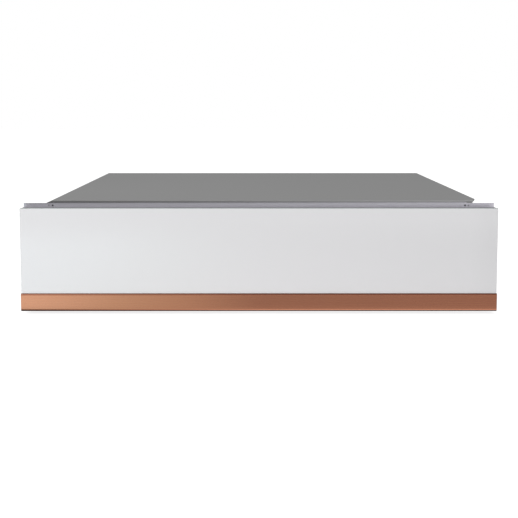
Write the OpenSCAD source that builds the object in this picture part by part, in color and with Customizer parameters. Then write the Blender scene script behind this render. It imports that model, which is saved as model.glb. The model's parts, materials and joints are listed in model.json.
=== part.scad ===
// Vacuum sealing drawer for a 60 cm kitchen cabinet, with a push-to-open front.
// X runs to the right, Y to the back and Z up. The origin is on the floor, in the
// middle of the drawer's footprint.

/* [Overall] */
// Width of the copper strip, the widest piece
front_w = 597; // [590:1:620]
// Depth from the copper strip to the heads of the rear screws
total_d = 550; // [545:1:600]
// Height from the floor to the top cover
total_h = 140; // [138:1:160]

/* [Front panel] */
// Space under the front panel
panel_ground = 4.8; // [3:0.1:8]
// Height of the copper strip
strip_h = 22.1; // [16:0.1:30]
// How far the copper strip stands out before the glass
strip_proud = 1.5; // [0.5:0.1:2.5]
// Chamfer along the top edge of the copper strip
strip_top_cut = 1.2; // [0.4:0.1:1.4]
// Chamfer along the bottom edge of the copper strip
strip_low_cut = 1.5; // [0.4:0.1:2]
// Gap between the strip and the glass
strip_gap = 0.4; // [0.2:0.1:1]
// How much shorter the glass is than the strip at each end
glass_inset = 1; // [0.5:0.1:3]
// Thickness of the front glass
glass_t = 5; // [4:0.5:6]
// Ground edge of the front glass
glass_cut = 0.5; // [0.2:0.1:1]
// Thickness of the sheet that bonds the glass to the pan
bond_t = 0.8; // [0.5:0.1:1.5]
// Thickness of the panel, from the face of the glass to the back plate
panel_t = 20; // [18:0.5:24]
// How far the pan stays inside the outline of the glass
pan_inset = 0.5; // [0.5:0.1:3]
// Gap between the shut panel and the housing
panel_gap = 4; // [3.6:0.1:6]

/* [Housing] */
// Thickness of the steel sheet
sheet = 1.2; // [1:0.1:1.5]
// Width of the housing
housing_w = 528; // [524:1:540]
// Width of the front frame
frame_w = 595; // [585:1:597]
// Height of the frame's band over the drawer
frame_band = 9.8; // [8:0.1:12]
// How far the top cover stands over the frame
cover_over_frame = 2.2; // [1.8:0.1:3]
// How far the top cover stands over the panel
cover_over_panel = 7; // [5:0.1:9]
// Width of the top cover
cover_w = 544; // [540:1:550]
// How far the top cover is moved to the right
cover_shift = 7.4; // [0:0.1:8]
// Thickness of the top cover
cover_t = 1.6; // [1.2:0.1:2]
// Distance from the frame's face back to the cover's front edge
cover_setback = 9.7; // [8:0.1:14]
// Height of the fold along the cover's right and rear edges
cover_fold = 12; // [8:0.5:18]
// Width of the cut in the cover's right front corner
corner_cut_w = 6.5; // [2:0.5:8]
// Length of the cut in the cover's right front corner
corner_cut_d = 22; // [10:1:30]
// Distance from that cut back to where the right edge's fold begins
fold_notch = 18; // [2:1:40]
// How far the lower edge of the cover's front lip runs out at the left
lip_flare = 7.4; // [2:0.1:10]
// Width of the inner flange along the top of the side walls
wall_flange = 10; // [6:0.5:14]
// Height of the rubber feet
foot_h = 6; // [5:0.5:8]
// Radius of the rubber feet
foot_r = 14; // [10:0.5:18]
// Distance of the feet from the sides of the housing
foot_inset = 26; // [20:1:60]
// Thickness of the buffers that the panel shuts against
buffer_t = 0.7; // [0.4:0.1:0.9]
// Radius of the buffers
buffer_r = 5; // [3:0.5:8]
// Distance of the cabinet screws from the side edges of the frame
niche_screw_edge = 7.5; // [5:0.5:10]
// Distance between the low and high cabinet screws
niche_screw_h = 70; // [50:1:80]
// Height of the middle of the cabinet screws
niche_screw_z = 75; // [70:1:80]
// Radius of the cabinet screw holes
niche_hole_r = 2.25; // [1.5:0.05:3]
// Radius of the small gauge holes in the frame's band
gauge_hole_r = 1.1; // [0.6:0.1:1.5]
// Distance between the two gauge holes of a pair
gauge_hole_step = 4.4; // [4:0.1:10]
// Distance of the gauge holes from the middle of the drawer
gauge_hole_x = 263; // [240:1:270]
// Distance of the gauge holes from the top of the band
gauge_hole_drop = 3; // [2.5:0.1:6]
// Width of a vent slot in the rear wall
vent_w = 4; // [2:0.5:5]
// Height of a vent slot in the rear wall
vent_h = 50; // [30:1:58]
// Distance from one vent slot to the next
vent_step = 9; // [7:0.5:14]
// Number of vent slots
vent_count = 8; // [4:1:9]

/* [Rails] */
// Space between the rails and the rear wall
rail_rear_gap = 16.2; // [11.2:0.1:60]
// Height of the outer rail
rail_h = 45; // [42:0.5:50]
// Space from the drawer's side to the housing's wall
rail_gap = 13.8; // [13.6:0.1:15]
// Thickness of the rail steel
rail_t = 1.5; // [1.2:0.1:1.6]
// Height of the middle of the rails over the drawer's floor
rail_rise = 38; // [30:1:50]
// How much of the rails stays together when the drawer is out
rail_overlap = 50; // [40:1:120]
// How far the shut drawer can be pushed in
push_in = 3; // [2:0.1:3]
// Radius of the rail balls
ball_r = 1.75; // [1.5:0.05:2]
// Distance from one ball to the next
ball_step = 33; // [20:1:60]

/* [Drawer] */
// Gap between the base of the housing and the drawer
floor_gap = 4.8; // [3.5:0.1:8]
// Height of the drawer's sheet box
box_h = 88; // [84:0.5:92]
// Space between the drawer's sheet box and the rear wall
box_rear_gap = 26.2; // [24:0.1:34]
// Thickness of the deck
deck_t = 1.5; // [1:0.1:2]
// Width of the touch control glass
control_w = 44; // [30:1:48]
// Length of the touch control glass
control_d = 190; // [120:1:240]
// Thickness of the touch control glass
control_t = 2.5; // [2:0.1:4]
// Distance from the control glass to the edge of the deck
control_edge = 11; // [6:0.5:12]
// Distance of the display board's ends from those of the control glass
display_inset = 10; // [4:0.5:20]
// Depth of the display board under the deck
display_drop = 9; // [6:0.5:12]
// Thickness of a circuit board
board_t = 1.6; // [1:0.1:2]

/* [Chamber] */
// Width of the vacuum chamber
chamber_w = 350; // [300:1:352]
// Room behind the vacuum chamber for the hinges, valves and pump
pump_room = 163; // [160:1:208]
// Height of the vacuum chamber from its floor to its rim
chamber_h = 79.5; // [60:0.5:82]
// Distance from the front panel to the chamber
chamber_front = 50.5; // [44:0.5:60]
// Thickness of the chamber's steel
tub_t = 1.5; // [1:0.1:2]
// Outer radius of the chamber's corners
tub_r = 30; // [15:1:45]
// Width of the rim round the chamber
rim_w = 7.5; // [6:0.5:10]
// Height of the suction port over the drawer's floor
port_rise = 40; // [25:1:45]
// Place of the suction port across the drawer
port_x = -50; // [-120:1:-40]

/* [Lid] */
// Thickness of the glass lid
lid_t = 8; // [6:0.5:10]
// How far the lid runs over the chamber's rim
lid_over = 5.5; // [3:0.5:8]
// Radius of the lid's corners
lid_r = 12; // [4:1:20]
// Height of the lid's seal
gasket_h = 3.2; // [2:0.1:5]
// Depth of the grip along the lid's front edge
grip_d = 16; // [10:0.5:20]
// Thickness of the grip over and under the glass
grip_lip = 1.3; // [1:0.1:2]
// Distance from the lid's rear edge to the hinge pins
hinge_back = 8; // [7.5:0.1:10]
// Height of the hinge pins over the underside of the lid
hinge_rise = 3.5; // [2:0.1:5]
// Radius of the hinge pins
hinge_pin_r = 3; // [2:0.1:4]
// Radius of the hinge knuckles
knuckle_r = 7; // [6:0.1:7.2]
// Distance of the hinges from the middle
hinge_x = 110; // [60:1:130]
// Length of a hinge knuckle
knuckle_len = 26; // [15:1:34]
// How far the hinge arms reach over the lid
arm_reach = 30; // [15:1:50]
// Depth of the hinge brackets behind the pins
bracket_d = 26; // [16:0.5:30]
// Thickness of a hinge ear
ear_t = 4; // [2:0.5:6]
// Turns of the spring on each hinge pin
spring_turns = 7; // [4:1:9]
// Wire thickness of the hinge springs
spring_wire = 1.5; // [0.8:0.1:1.6]
// Distance from one spring turn to the next
spring_pitch = 2.1; // [2:0.1:2.6]

/* [Sealing bar] */
// Length of the sealing bar
bar_len = 320; // [240:1:330]
// Width of the sealing bar
bar_w = 18; // [12:0.5:22]
// Height of the sealing bar
bar_h = 20; // [12:0.5:24]
// Distance from the chamber's front wall to the sealing bar
bar_front = 10.5; // [4:0.5:20]
// How far the sealing bar rises
bar_lift = 4.5; // [2:0.1:6]
// Width of the heating band
band_w = 4; // [2:0.5:8]
// Thickness of the heating band
band_t = 0.6; // [0.3:0.1:1]
// Radius of the lift cylinders
lifter_r = 10; // [8:0.5:11]
// Height of the lift cylinders
lifter_h = 36.5; // [30:0.5:38]
// Radius of the lift rods
lift_rod_r = 4; // [3:0.1:5]
// Distance of the lift rods from the middle
lifter_x = 110; // [60:1:140]
// Thickness of the silicone strip under the lid
counter_strip_h = 5.4; // [3:0.1:8]

/* [Pump] */
// Radius of the motor
motor_r = 38; // [30:0.5:39]
// Length of the motor
motor_len = 104; // [80:1:106]
// How far the round casing of the motor dips below its feet
motor_dip = 2; // [0:0.5:4]
// Wall of the motor's casing
motor_wall = 4; // [3:0.5:6]
// Radius of the motor's shaft
shaft_r = 5; // [4:0.1:7]
// Size of the pump's body
pump_w = 72; // [66:1:74]
// Length of the pump's body
pump_len = 70; // [50:1:76]
// Radius of the pump's chamber
pump_bore_r = 28; // [24:0.5:30]
// How far the pump's chamber is off the shaft
pump_offset = 4; // [2:0.1:5]
// Gap between the pump's rotor and chamber at the closest place
pump_gap = 0.6; // [0.4:0.1:1]
// Thickness of the pump's end cover
pump_cover_t = 8; // [5:0.5:10]
// Height of the rubber mounts under the pump
rubber_h = 6.8; // [5:0.1:8]
// Radius of the rubber mounts
rubber_r = 7; // [5:0.5:9]
// Distance from the drawer's left side to the motor
motor_edge = 9; // [5:0.5:12]
// Distance from the drawer's rear to the motor's shaft
shaft_back = 73; // [70:0.5:78]

/* [Fan] */
// Size of the fan's frame
fan_size = 80; // [70:1:82]
// Depth of the fan's frame
fan_d = 25; // [22:0.5:32]
// Radius of the fan's blades
fan_r = 36; // [30:0.5:36]
// Radius of the fan's hub
fan_hub_r = 15; // [10:0.5:18]
// Number of fan blades
blade_count = 7; // [5:1:9]
// Length of a fan blade's section
blade_chord = 20; // [12:0.5:21]
// Thickness of a fan blade
blade_t = 1.8; // [1:0.1:3]
// Angle of the fan blades
blade_angle = 35; // [20:1:45]
// Place of the fan across the drawer
fan_x = 185; // [160:1:190]

/* [Electrics and valves] */
// Width of the transformer
trafo_w = 70; // [50:1:74]
// Height of the transformer
trafo_h = 62; // [50:1:70]
// Depth of the transformer's iron
trafo_d = 40; // [30:1:44]
// Place of the transformer across the drawer
trafo_x = 45; // [36:1:50]
// Width of the main board
main_board_w = 136; // [100:1:138]
// Depth of the main board
main_board_d = 100; // [70:1:102]
// Height of the main board over the drawer's floor
main_board_rise = 7.8; // [5:0.1:12]
// Radius of the capacitors on the main board
capacitor_r = 8.5; // [5:0.5:10]
// Height of the capacitors on the main board
capacitor_h = 24; // [12:1:32]
// Width of the relays on the main board
relay_w = 24; // [16:0.5:30]
// Depth of the relays on the main board
relay_d = 18; // [10:0.5:20]
// Height of the relays on the main board
relay_h = 15.5; // [10:0.5:20]
// Distance from one capacitor or relay to the next
part_step = 24; // [20:0.5:30]
// Width of the heat sink on the main board
sink_w = 36; // [20:1:44]
// Height of the heat sink on the main board
sink_h = 35.5; // [20:0.5:40]
// Thickness of a heat sink fin
fin_t = 2; // [1:0.1:3]
// Width of the valve block
valve_w = 60; // [50:1:62]
// Depth of the valve block
valve_d = 24; // [24:0.5:26]
// Height of the valve block
valve_h = 50.8; // [46:0.1:52]
// Radius of the valve coils
coil_r = 11.5; // [8:0.5:12]
// Height of the valve coils
coil_h = 28; // [20:0.5:30]
// Radius of the valve plungers
plunger_r = 4; // [2.5:0.1:5]
// How far the valve plungers lift
plunger_lift = 2.5; // [1:0.1:3]
// Outer radius of the hoses
hose_r = 8; // [7.5:0.1:8.5]
// Radius of the hose nipples
nipple_r = 6; // [4.5:0.1:6.4]
// Radius of the passage through the nipples
passage_r = 3.5; // [2:0.1:4]
// Bend radius of the hoses
hose_bend = 14; // [12:0.5:15]
// Radius of the exhaust muffler
muffler_r = 16; // [12:0.5:17]
// Width of the mains socket
inlet_w = 28; // [24:0.5:32]
// Height of the mains socket
inlet_h = 20; // [16:0.5:24]
// Depth of the mains socket behind the rear wall
inlet_d = 20; // [16:0.5:20.5]
// Wall of the mains socket
inlet_wall = 2.5; // [1.5:0.1:3]
// Place of the mains socket across the drawer
inlet_x = -200; // [-210:1:-150]
// Height of the middle of the mains socket
inlet_z = 38; // [30:1:60]

/* [Latch] */
// Length of the push latch
latch_len = 90; // [80:1:100]
// Height of the push latch
latch_h = 16; // [12:0.5:20]
// Radius of the latch plunger
latch_rod_r = 4; // [3:0.1:4.4]
// How much farther the drawer moves than the latch plunger
latch_ratio = 12; // [11:1:16]

/* [Fasteners] */
// Shank radius of the screws
screw_r = 1.9; // [1.2:0.1:2.2]
// Head radius of the screws
screw_head_r = 3.6; // [2.5:0.1:4.2]
// Head height of the screws
screw_head_h = 1.4; // [0.8:0.1:2]
// Height of the flat heads in the rails
flat_head_h = 1.2; // [0.8:0.1:1.2]

/* [Clearances] */
// Clearance round the shank of a screw
screw_play = 0.1; // [0.05:0.05:0.2]
// Radial clearance of a running fit
run_play = 0.05; // [0.02:0.01:0.1]
// Gap between parts that move past each other
move_gap = 0.3; // [0.2:0.05:0.5]
// Gap round a part that is let into a cut-out
seat_gap = 0.3; // [0.1:0.05:0.5]

/* [Hidden] */
$fn = 64;

// Places from front to back
strip_y0 = -total_d / 2;
glass_y0 = strip_y0 + strip_proud;
glass_y1 = glass_y0 + glass_t;
pan_y0 = glass_y1 + bond_t;
panel_y1 = glass_y0 + panel_t;
back_y0 = panel_y1 - sheet;
frame_y0 = panel_y1 + panel_gap;
frame_y1 = frame_y0 + sheet;
cover_y0 = frame_y0 + cover_setback;
tray_y0 = cover_y0 + sheet;
fold_y1 = total_d / 2 - screw_head_h;
rear_y1 = fold_y1 - sheet;
rear_y0 = rear_y1 - sheet;
box_y0 = panel_y1;
box_y1 = rear_y0 - box_rear_gap;
box_len = box_y1 - box_y0;
box_back = box_y1 - sheet;

// Heights
base_z1 = foot_h + sheet;
floor_z0 = base_z1 + floor_gap;
floor_z1 = floor_z0 + sheet;
deck_z0 = floor_z0 + box_h;
deck_z1 = deck_z0 + deck_t;
panel_z1 = total_h - cover_over_panel;
strip_z1 = panel_ground + strip_h;
glass_z0 = strip_z1 + strip_gap;
frame_z1 = total_h - cover_over_frame;
frame_z0 = foot_h + 2;
cover_z0 = total_h - cover_t;
tray_z0 = cover_z0 - sheet;
rail_z = floor_z0 + rail_rise;

// Places across
wall_x1 = housing_w / 2;
wall_x0 = wall_x1 - sheet;
box_x1 = wall_x0 - rail_gap;
box_x0 = box_x1 - sheet;
glass_x1 = front_w / 2 - glass_inset;
pan_x1 = glass_x1 - pan_inset;
cover_x0 = cover_shift - cover_w / 2;
cover_x1 = cover_shift + cover_w / 2;

// Rail members, measured inwards from the housing's wall
rail_y0 = frame_y0 + 4.5;
rail_len = rear_y0 - rail_rear_gap - rail_y0;
travel = rail_len - rail_overlap;
ball_lane = 2 * (ball_r + run_play);
outer_half = rail_h / 2;
middle_half = outer_half - rail_t - ball_lane;
inner_half = middle_half - rail_t - ball_lane;
outer_lip = rail_gap - 2.8;
middle_web = 2 * rail_t;
middle_lip = rail_gap - 1.8;
inner_web = rail_gap - rail_t;
inner_lip = middle_web + rail_t + 1.3;
cage_t = 0.6;
outer_cage_u = rail_t + (middle_web - rail_t - cage_t) / 2;
inner_cage_u = middle_web + rail_t + 0.35;
cage_y0 = rail_y0 + 120;
cage_len = rail_len - travel / 2 - 12;
ball_count = floor((cage_len - 10) / ball_step);

// Chamber
rim_z1 = deck_z1 + tub_t;
tub_z1 = rim_z1 - chamber_h;
tub_z0 = tub_z1 - tub_t;
tub_y0 = box_y0 + chamber_front;
tub_y1 = box_y1 - pump_room;
tub_x1 = chamber_w / 2;
port_z = floor_z0 + port_rise;

// Lid
gasket_z0 = rim_z1 + move_gap;
lid_z0 = gasket_z0 + gasket_h;
lid_z1 = lid_z0 + lid_t;
lid_x1 = tub_x1 + rim_w + lid_over;
lid_y0 = tub_y0 - rim_w - lid_over - 2;
lid_y1 = tub_y1 + rim_w + 0.5;
hinge_y = lid_y1 + hinge_back;
hinge_z = lid_z0 + hinge_rise;
ear_gap = knuckle_len + spring_turns * spring_pitch + 6;
spring_x0 = hinge_x + move_gap + knuckle_len + 2.5;

// Sealing bar
bar_y0 = tub_y0 + tub_t + bar_front;
bar_y = bar_y0 + bar_w / 2;
counter_z0 = lid_z0 - 7.5 - counter_strip_h;
band_z1 = counter_z0 - bar_lift - 0.5;
bar_z1 = band_z1 - band_t;
bar_z0 = bar_z1 - bar_h;
lifter_z1 = tub_z1 + lifter_h;

// Pump
pump_z0 = floor_z1 + rubber_h;
shaft_z = pump_z0 + pump_w / 2;
shaft_y = box_y1 - shaft_back;
motor_x0 = -box_x1 + motor_edge;
pump_x0 = motor_x0 + motor_len;
pump_x1 = pump_x0 + pump_len;
pump_y0 = shaft_y - pump_w / 2;
pump_rotor_r = pump_bore_r - pump_offset - pump_gap;
motor_foot_z = shaft_z - motor_r + motor_dip;
motor_mount_y = sqrt(2 * motor_r * motor_dip - motor_dip * motor_dip) + rubber_r + seat_gap;
pump_mount_y = pump_w / 2 - rubber_r - 5;
stator_r = motor_r - motor_wall - 0.2;
rotor_r = stator_r * 0.78;
core_x0 = motor_x0 + motor_len * 0.2;
core_len = motor_len * 0.6;

// Valves and hoses
valve_y0 = pump_y0 - valve_d - 8;
valve_y1 = valve_y0 + valve_d;
valve_x1 = port_x + valve_w / 2;
valve_x0 = port_x - valve_w / 2;
valve_z1 = floor_z1 + valve_h;
coil_step = valve_w * 0.225;
hose_in_x = valve_x0 - 10 - hose_bend;
hose_in_y = port_y() + hose_bend;
outlet_x = pump_x1 + pump_cover_t;
outlet_y = shaft_y + 18;
muffler_x = outlet_x + 8 + hose_bend;
muffler_y0 = outlet_y + hose_bend + 4;
function port_y() = (valve_y0 + valve_y1) / 2;

// Fan and board
fan_y1 = box_back;
fan_y0 = fan_y1 - fan_d;
fan_z = floor_z1 + fan_size / 2 + 2.8;
blade_y = (fan_y0 + fan_y1) / 2;
board_x1 = box_x0 - 8;
board_x0 = board_x1 - main_board_w;
board_y1 = fan_y0 - 14;
board_y0 = board_y1 - main_board_d;
board_z0 = floor_z1 + main_board_rise;
board_z1 = board_z0 + board_t;
board_edge = 15;
sink_d = main_board_d - 2 * board_edge;
part_y0 = (main_board_d - 2 * part_step) / 2;
trafo_y = port_y() + 30;

// Latch
latch_x1 = wall_x0;
latch_x0 = box_x1 + 2.3;
latch_x = (latch_x0 + latch_x1) / 2;
latch_z = rail_z + outer_half + latch_h / 2 + 7.5;
latch_y1 = rail_y0 + rail_len - 20;
latch_y0 = latch_y1 - latch_len;
latch_tip = latch_y0 - 8.6;
latch_travel = travel / latch_ratio;
striker_y1 = latch_tip - push_in - 0.4;

// Colours
steel = [0.62, 0.62, 0.63];
dark_steel = [0.54, 0.54, 0.55];
copper = [0.65, 0.43, 0.33];
white_glass = [0.88, 0.88, 0.89];
rubber = [0.12, 0.12, 0.13];
brass_tone = [0.72, 0.6, 0.35];
board_green = [0.1, 0.32, 0.2];
black_plastic = [0.1, 0.1, 0.11];

// Box between two opposite corners
module block(low, high) {
    translate(low) cube(high - low);
}

// Child profile in Y and Z, drawn out along X and centred on it
module along_x(length) {
    translate([-length / 2, 0, 0]) rotate([90, 0, 90]) linear_extrude(length) children();
}

// Child profile in X and Z, drawn out along Y
module along_y(y0, y1) {
    translate([0, y1, 0]) rotate([90, 0, 0]) linear_extrude(y1 - y0) children();
}

// Round bar along X from one place to the next
module rod_x(x0, x1, y, z, r) {
    translate([x0, y, z]) rotate([0, 90, 0]) cylinder(r = r, h = x1 - x0);
}

// Round bar along Y from one place to the next
module rod_y(y0, y1, x, z, r) {
    translate([x, y0, z]) rotate([-90, 0, 0]) cylinder(r = r, h = y1 - y0);
}

// Round bar along Z from one place to the next
module rod_z(z0, z1, x, y, r) {
    translate([x, y, z0]) cylinder(r = r, h = z1 - z0);
}

// Rectangle with round corners between two opposite corners
module round_rect(x0, y0, x1, y1, r) {
    translate([x0 + r, y0]) square([x1 - x0 - 2 * r, y1 - y0]);
    translate([x0, y0 + r]) square([x1 - x0, y1 - y0 - 2 * r]);
    for (x = [x0 + r, x1 - r], y = [y0 + r, y1 - r])
        translate([x, y]) circle(r);
}

// The child and its mirror image on the left
module both_sides() {
    children();
    mirror([1, 0, 0]) children();
}

// Screw with its head's underside at the origin, pointing down
module screw(length) {
    cylinder(r = screw_head_r, h = screw_head_h, $fn = 32);
    translate([0, 0, -length]) cylinder(r = screw_r, h = length + screw_head_h / 2, $fn = 32);
}

// Screw whose flat head ends at the origin, in a cone, pointing down
module flat_screw(length) {
    translate([0, 0, -flat_head_h])
        cylinder(r1 = screw_r, r2 = screw_r + flat_head_h, h = flat_head_h, $fn = 32);
    translate([0, 0, -length]) cylinder(r = screw_r, h = length - flat_head_h / 2, $fn = 32);
}

// Hole for a flat-headed screw
module flat_hole(length) {
    cone_r = screw_r + screw_play;
    translate([0, 0, -flat_head_h])
        cylinder(r1 = cone_r, r2 = cone_r + flat_head_h + 1, h = flat_head_h + 1, $fn = 32);
    translate([0, 0, -length]) cylinder(r = cone_r, h = length, $fn = 32);
}

// Hole for a screw along the direction of the child space's Z
module screw_hole(length) {
    translate([0, 0, -length]) cylinder(r = screw_r + screw_play, h = 2 * length, $fn = 32);
}

// Places of the screws that hold the outer rails, drawn on the right
module rail_screw_places() {
    for (y = [rail_y0 + 40, rail_y0 + rail_len / 2, rail_y0 + rail_len - 40])
        translate([wall_x0 - rail_t, y, rail_z]) rotate([0, -90, 0]) children();
}

// Places of the screws that hold the inner rails, drawn on the right
module runner_screw_places() {
    for (y = [rail_y0 + 60, rail_y0 + rail_len / 2, rail_y0 + rail_len - 60])
        translate([box_x0, y, rail_z]) rotate([0, -90, 0]) children();
}

// Places of the screws between the drawer and the front panel
module front_screw_places() {
    for (x = [-0.8, -0.35, 0.35, 0.8], z = [floor_z1 + 14, deck_z0 - 14])
        translate([x * box_x1, box_y0 + sheet, z]) rotate([-90, 0, 0]) children();
}

// Places of the screws in the deck
module deck_screw_places() {
    for (s = [-1, 1], y = [box_y0 + 18, box_y0 + box_len * 0.35, box_y0 + box_len * 0.7, box_y1 - 12])
        translate([s * (box_x0 - wall_flange / 2), y, deck_z1]) children();
}

// Places of the screws along the rear edge of the cover
module rear_screw_places() {
    for (x = [-0.75, 0, 0.75])
        translate([x * wall_x1, fold_y1, total_h - cover_fold / 2 - cover_t]) rotate([-90, 0, 0]) children();
}

module housing_shell() color(steel) difference() {
    union() {
        block([-wall_x1, frame_y1, foot_h], [wall_x1, rear_y1, base_z1]);
        both_sides() {
            block([wall_x0, frame_y1, foot_h], [wall_x1, rear_y1, tray_z0]);
            block([wall_x0 - wall_flange, tray_y0 + sheet, tray_z0 - sheet], [wall_x1, rear_y0, tray_z0]);
        }
    }
    block([-wall_x1 - 1, frame_y1 - 1, frame_z1 - sheet], [wall_x1 + 1, tray_y0, tray_z0 + 1]);
    foot_places() translate([0, 0, -1]) cylinder(r = foot_r * 0.3 + run_play, h = foot_h + 6);
    both_sides() rail_screw_places() screw_hole(8);
}

module rear_wall() color(steel) difference() {
    block([-wall_x0, rear_y0, base_z1], [wall_x0, rear_y1, tray_z0 - sheet]);
    for (i = [0 : vent_count - 1])
        translate([fan_x + (i - (vent_count - 1) / 2) * vent_step, 0, fan_z])
            block([-vent_w / 2, rear_y0 - 1, -vent_h / 2], [vent_w / 2, rear_y1 + 1, vent_h / 2]);
    block(
        [inlet_x - inlet_w / 2 - seat_gap, rear_y0 - 1, inlet_z - inlet_h / 2 - seat_gap],
        [inlet_x + inlet_w / 2 + seat_gap, rear_y1 + 1, inlet_z + inlet_h / 2 + seat_gap]
    );
    rear_screw_places() screw_hole(8);
}

module top_tray() color(dark_steel) {
    block([-wall_x1, tray_y0, tray_z0], [wall_x1, rear_y1, cover_z0]);
    block([-wall_x0, tray_y0, frame_z1 - frame_band], [wall_x0, tray_y0 + sheet, cover_z0]);
    for (x = [-0.5, 0, 0.5])
        block(
            [x * wall_x1 - 8, tray_y0 + sheet, tray_z0 - 1],
            [x * wall_x1 + 8, rear_y0 - seat_gap, tray_z0]
        );
}

module top_cover() color(dark_steel) difference() {
    union() {
        translate([0, 0, cover_z0]) linear_extrude(cover_t) polygon([
            [cover_x0, cover_y0],
            [cover_x1 - corner_cut_w, cover_y0],
            [cover_x1, cover_y0 + corner_cut_d],
            [cover_x1, fold_y1],
            [cover_x0, fold_y1]
        ]);
        along_y(cover_y0, tray_y0) polygon([
            [cover_x0 - lip_flare, frame_z1 - sheet],
            [cover_x1 - corner_cut_w - 1, frame_z1 - sheet],
            [cover_x1 - corner_cut_w, total_h],
            [cover_x0, total_h]
        ]);
        block(
            [cover_x1 - cover_t, cover_y0 + corner_cut_d + fold_notch, cover_z0 - cover_fold],
            [cover_x1, fold_y1, total_h]
        );
        block([cover_x0, rear_y1, cover_z0 - cover_fold], [cover_x1, fold_y1, total_h]);
    }
    rear_screw_places() screw_hole(8);
}

module front_frame() color([0.66, 0.65, 0.69]) difference() {
    union() {
        block([-frame_w / 2, frame_y0, frame_z0], [frame_w / 2, frame_y1, frame_z1]);
        block([-wall_x1, frame_y0, frame_z1 - sheet], [wall_x1, cover_y0, frame_z1]);
    }
    block([-wall_x0, frame_y0 - 1, frame_z0 - 1], [wall_x0, frame_y1 + 1, frame_z1 - frame_band]);
    for (x = [-1, 1], z = [-1, 1])
        rod_y(
            frame_y0 - 1, frame_y1 + 1,
            x * (frame_w / 2 - niche_screw_edge), niche_screw_z + z * niche_screw_h / 2, niche_hole_r
        );
    for (x = [-1, 1], step = [-1, 1])
        rod_y(
            frame_y0 - 1, frame_y1 + 1,
            x * gauge_hole_x + step * gauge_hole_step / 2, frame_z1 - gauge_hole_drop, gauge_hole_r
        );
}

// Channel of a rail on the right, open away from its web
module channel(web_u, lip_u, half, y0, y1) {
    low_u = min(web_u, lip_u);
    high_u = max(web_u + rail_t, lip_u);
    block([wall_x0 - web_u - rail_t, y0, rail_z - half], [wall_x0 - web_u, y1, rail_z + half]);
    for (side = [-1, 1])
        translate([0, 0, rail_z + side * (half - rail_t / 2)])
            block([wall_x0 - high_u, y0, -rail_t / 2], [wall_x0 - low_u, y1, rail_t / 2]);
}

module outer_rails() color(steel) both_sides() difference() {
    channel(0, outer_lip, outer_half, rail_y0, rail_y0 + rail_len);
    rail_screw_places() flat_hole(8);
}

module middle_rails() color(steel) both_sides()
    channel(middle_web, middle_lip, middle_half, rail_y0, rail_y0 + rail_len);

module inner_rails() color(steel) both_sides() difference() {
    channel(inner_web, inner_lip, inner_half, rail_y0, box_y1 - 2);
    runner_screw_places() screw_hole(8);
}

// Ball cage on the right: a strip, a finger above and below, and the balls in them
module ball_cage(strip_u, ball_u, half) {
    block(
        [wall_x0 - strip_u - cage_t, cage_y0, rail_z - half - cage_t / 2],
        [wall_x0 - strip_u, cage_y0 + cage_len, rail_z + half + cage_t / 2]
    );
    for (side = [-1, 1]) {
        translate([0, 0, rail_z + side * half]) block(
            [wall_x0 - ball_u - ball_r - 0.6, cage_y0, -cage_t / 2],
            [wall_x0 - strip_u, cage_y0 + cage_len, cage_t / 2]
        );
        for (i = [0 : ball_count - 1])
            translate([
                wall_x0 - ball_u,
                cage_y0 + cage_len / 2 + (i - (ball_count - 1) / 2) * ball_step,
                rail_z + side * half
            ]) sphere(ball_r, $fn = 32);
    }
}

module outer_ball_cages() color(brass_tone) both_sides()
    ball_cage(outer_cage_u, (middle_web + outer_lip) / 2, middle_half + ball_lane / 2);

module inner_ball_cages() color(brass_tone) both_sides()
    ball_cage(inner_cage_u, (inner_lip + middle_lip) / 2, inner_half + ball_lane / 2);

module housing_screws() color(steel) {
    both_sides() rail_screw_places() flat_screw(rail_t + sheet);
    rear_screw_places() screw(5);
}

module foot_places() {
    for (x = [-1, 1], y = [frame_y1 + foot_inset, rear_y1 - foot_inset])
        translate([x * (wall_x1 - foot_inset), y, 0]) children();
}

module feet() color(rubber) foot_places() {
    cylinder(r = foot_r, h = foot_h);
    cylinder(r = foot_r * 0.3, h = foot_h + sheet + 1.2);
}

module front_buffers() color(rubber)
    for (x = [-1, 1], z = [panel_ground + 19, panel_z1 - 7])
        rod_y(frame_y0 - buffer_t, frame_y0, x * (frame_w / 2 - 13), z, buffer_r);

module latch_body() color(black_plastic) difference() {
    block([latch_x0, latch_y0, latch_z - latch_h / 2], [latch_x1, latch_y1, latch_z + latch_h / 2]);
    rod_y(latch_y0 - 1, latch_y1 - 4, latch_x, latch_z, latch_rod_r + run_play);
}

module latch_plunger() color([0.85, 0.85, 0.86]) {
    rod_y(latch_tip, latch_y0 + latch_travel + 15, latch_x, latch_z, latch_rod_r);
}

module latch_striker() color(steel) {
    block(
        [box_x1, striker_y1 - 24, latch_z - latch_h * 0.4],
        [box_x1 + 1.5, striker_y1, latch_z + latch_h * 0.4]
    );
    block(
        [box_x1, striker_y1 - 3, latch_z - latch_h * 0.4],
        [latch_x + latch_rod_r, striker_y1, latch_z + latch_h * 0.4]
    );
}

module mains_inlet() color(black_plastic) difference() {
    union() {
        translate([inlet_x, rear_y1, inlet_z])
            block([-inlet_w / 2 - 11, 0, -inlet_h / 2 - 4], [inlet_w / 2 + 11, 1.6, inlet_h / 2 + 4]);
        translate([inlet_x, rear_y1, inlet_z])
            block([-inlet_w / 2, -inlet_d, -inlet_h / 2], [inlet_w / 2, 1, inlet_h / 2]);
    }
    difference() {
        translate([inlet_x, rear_y1, inlet_z]) block(
            [inlet_wall - inlet_w / 2, inlet_wall - inlet_d, inlet_wall - inlet_h / 2],
            [inlet_w / 2 - inlet_wall, 3, inlet_h / 2 - inlet_wall]
        );
        for (x = [-6, 0, 6])
            translate([inlet_x + x, rear_y1, inlet_z + (x == 0 ? 2.5 : -1.5)])
                block([-0.9, -inlet_d, -2], [0.9, -6, 2]);
    }
}

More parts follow.
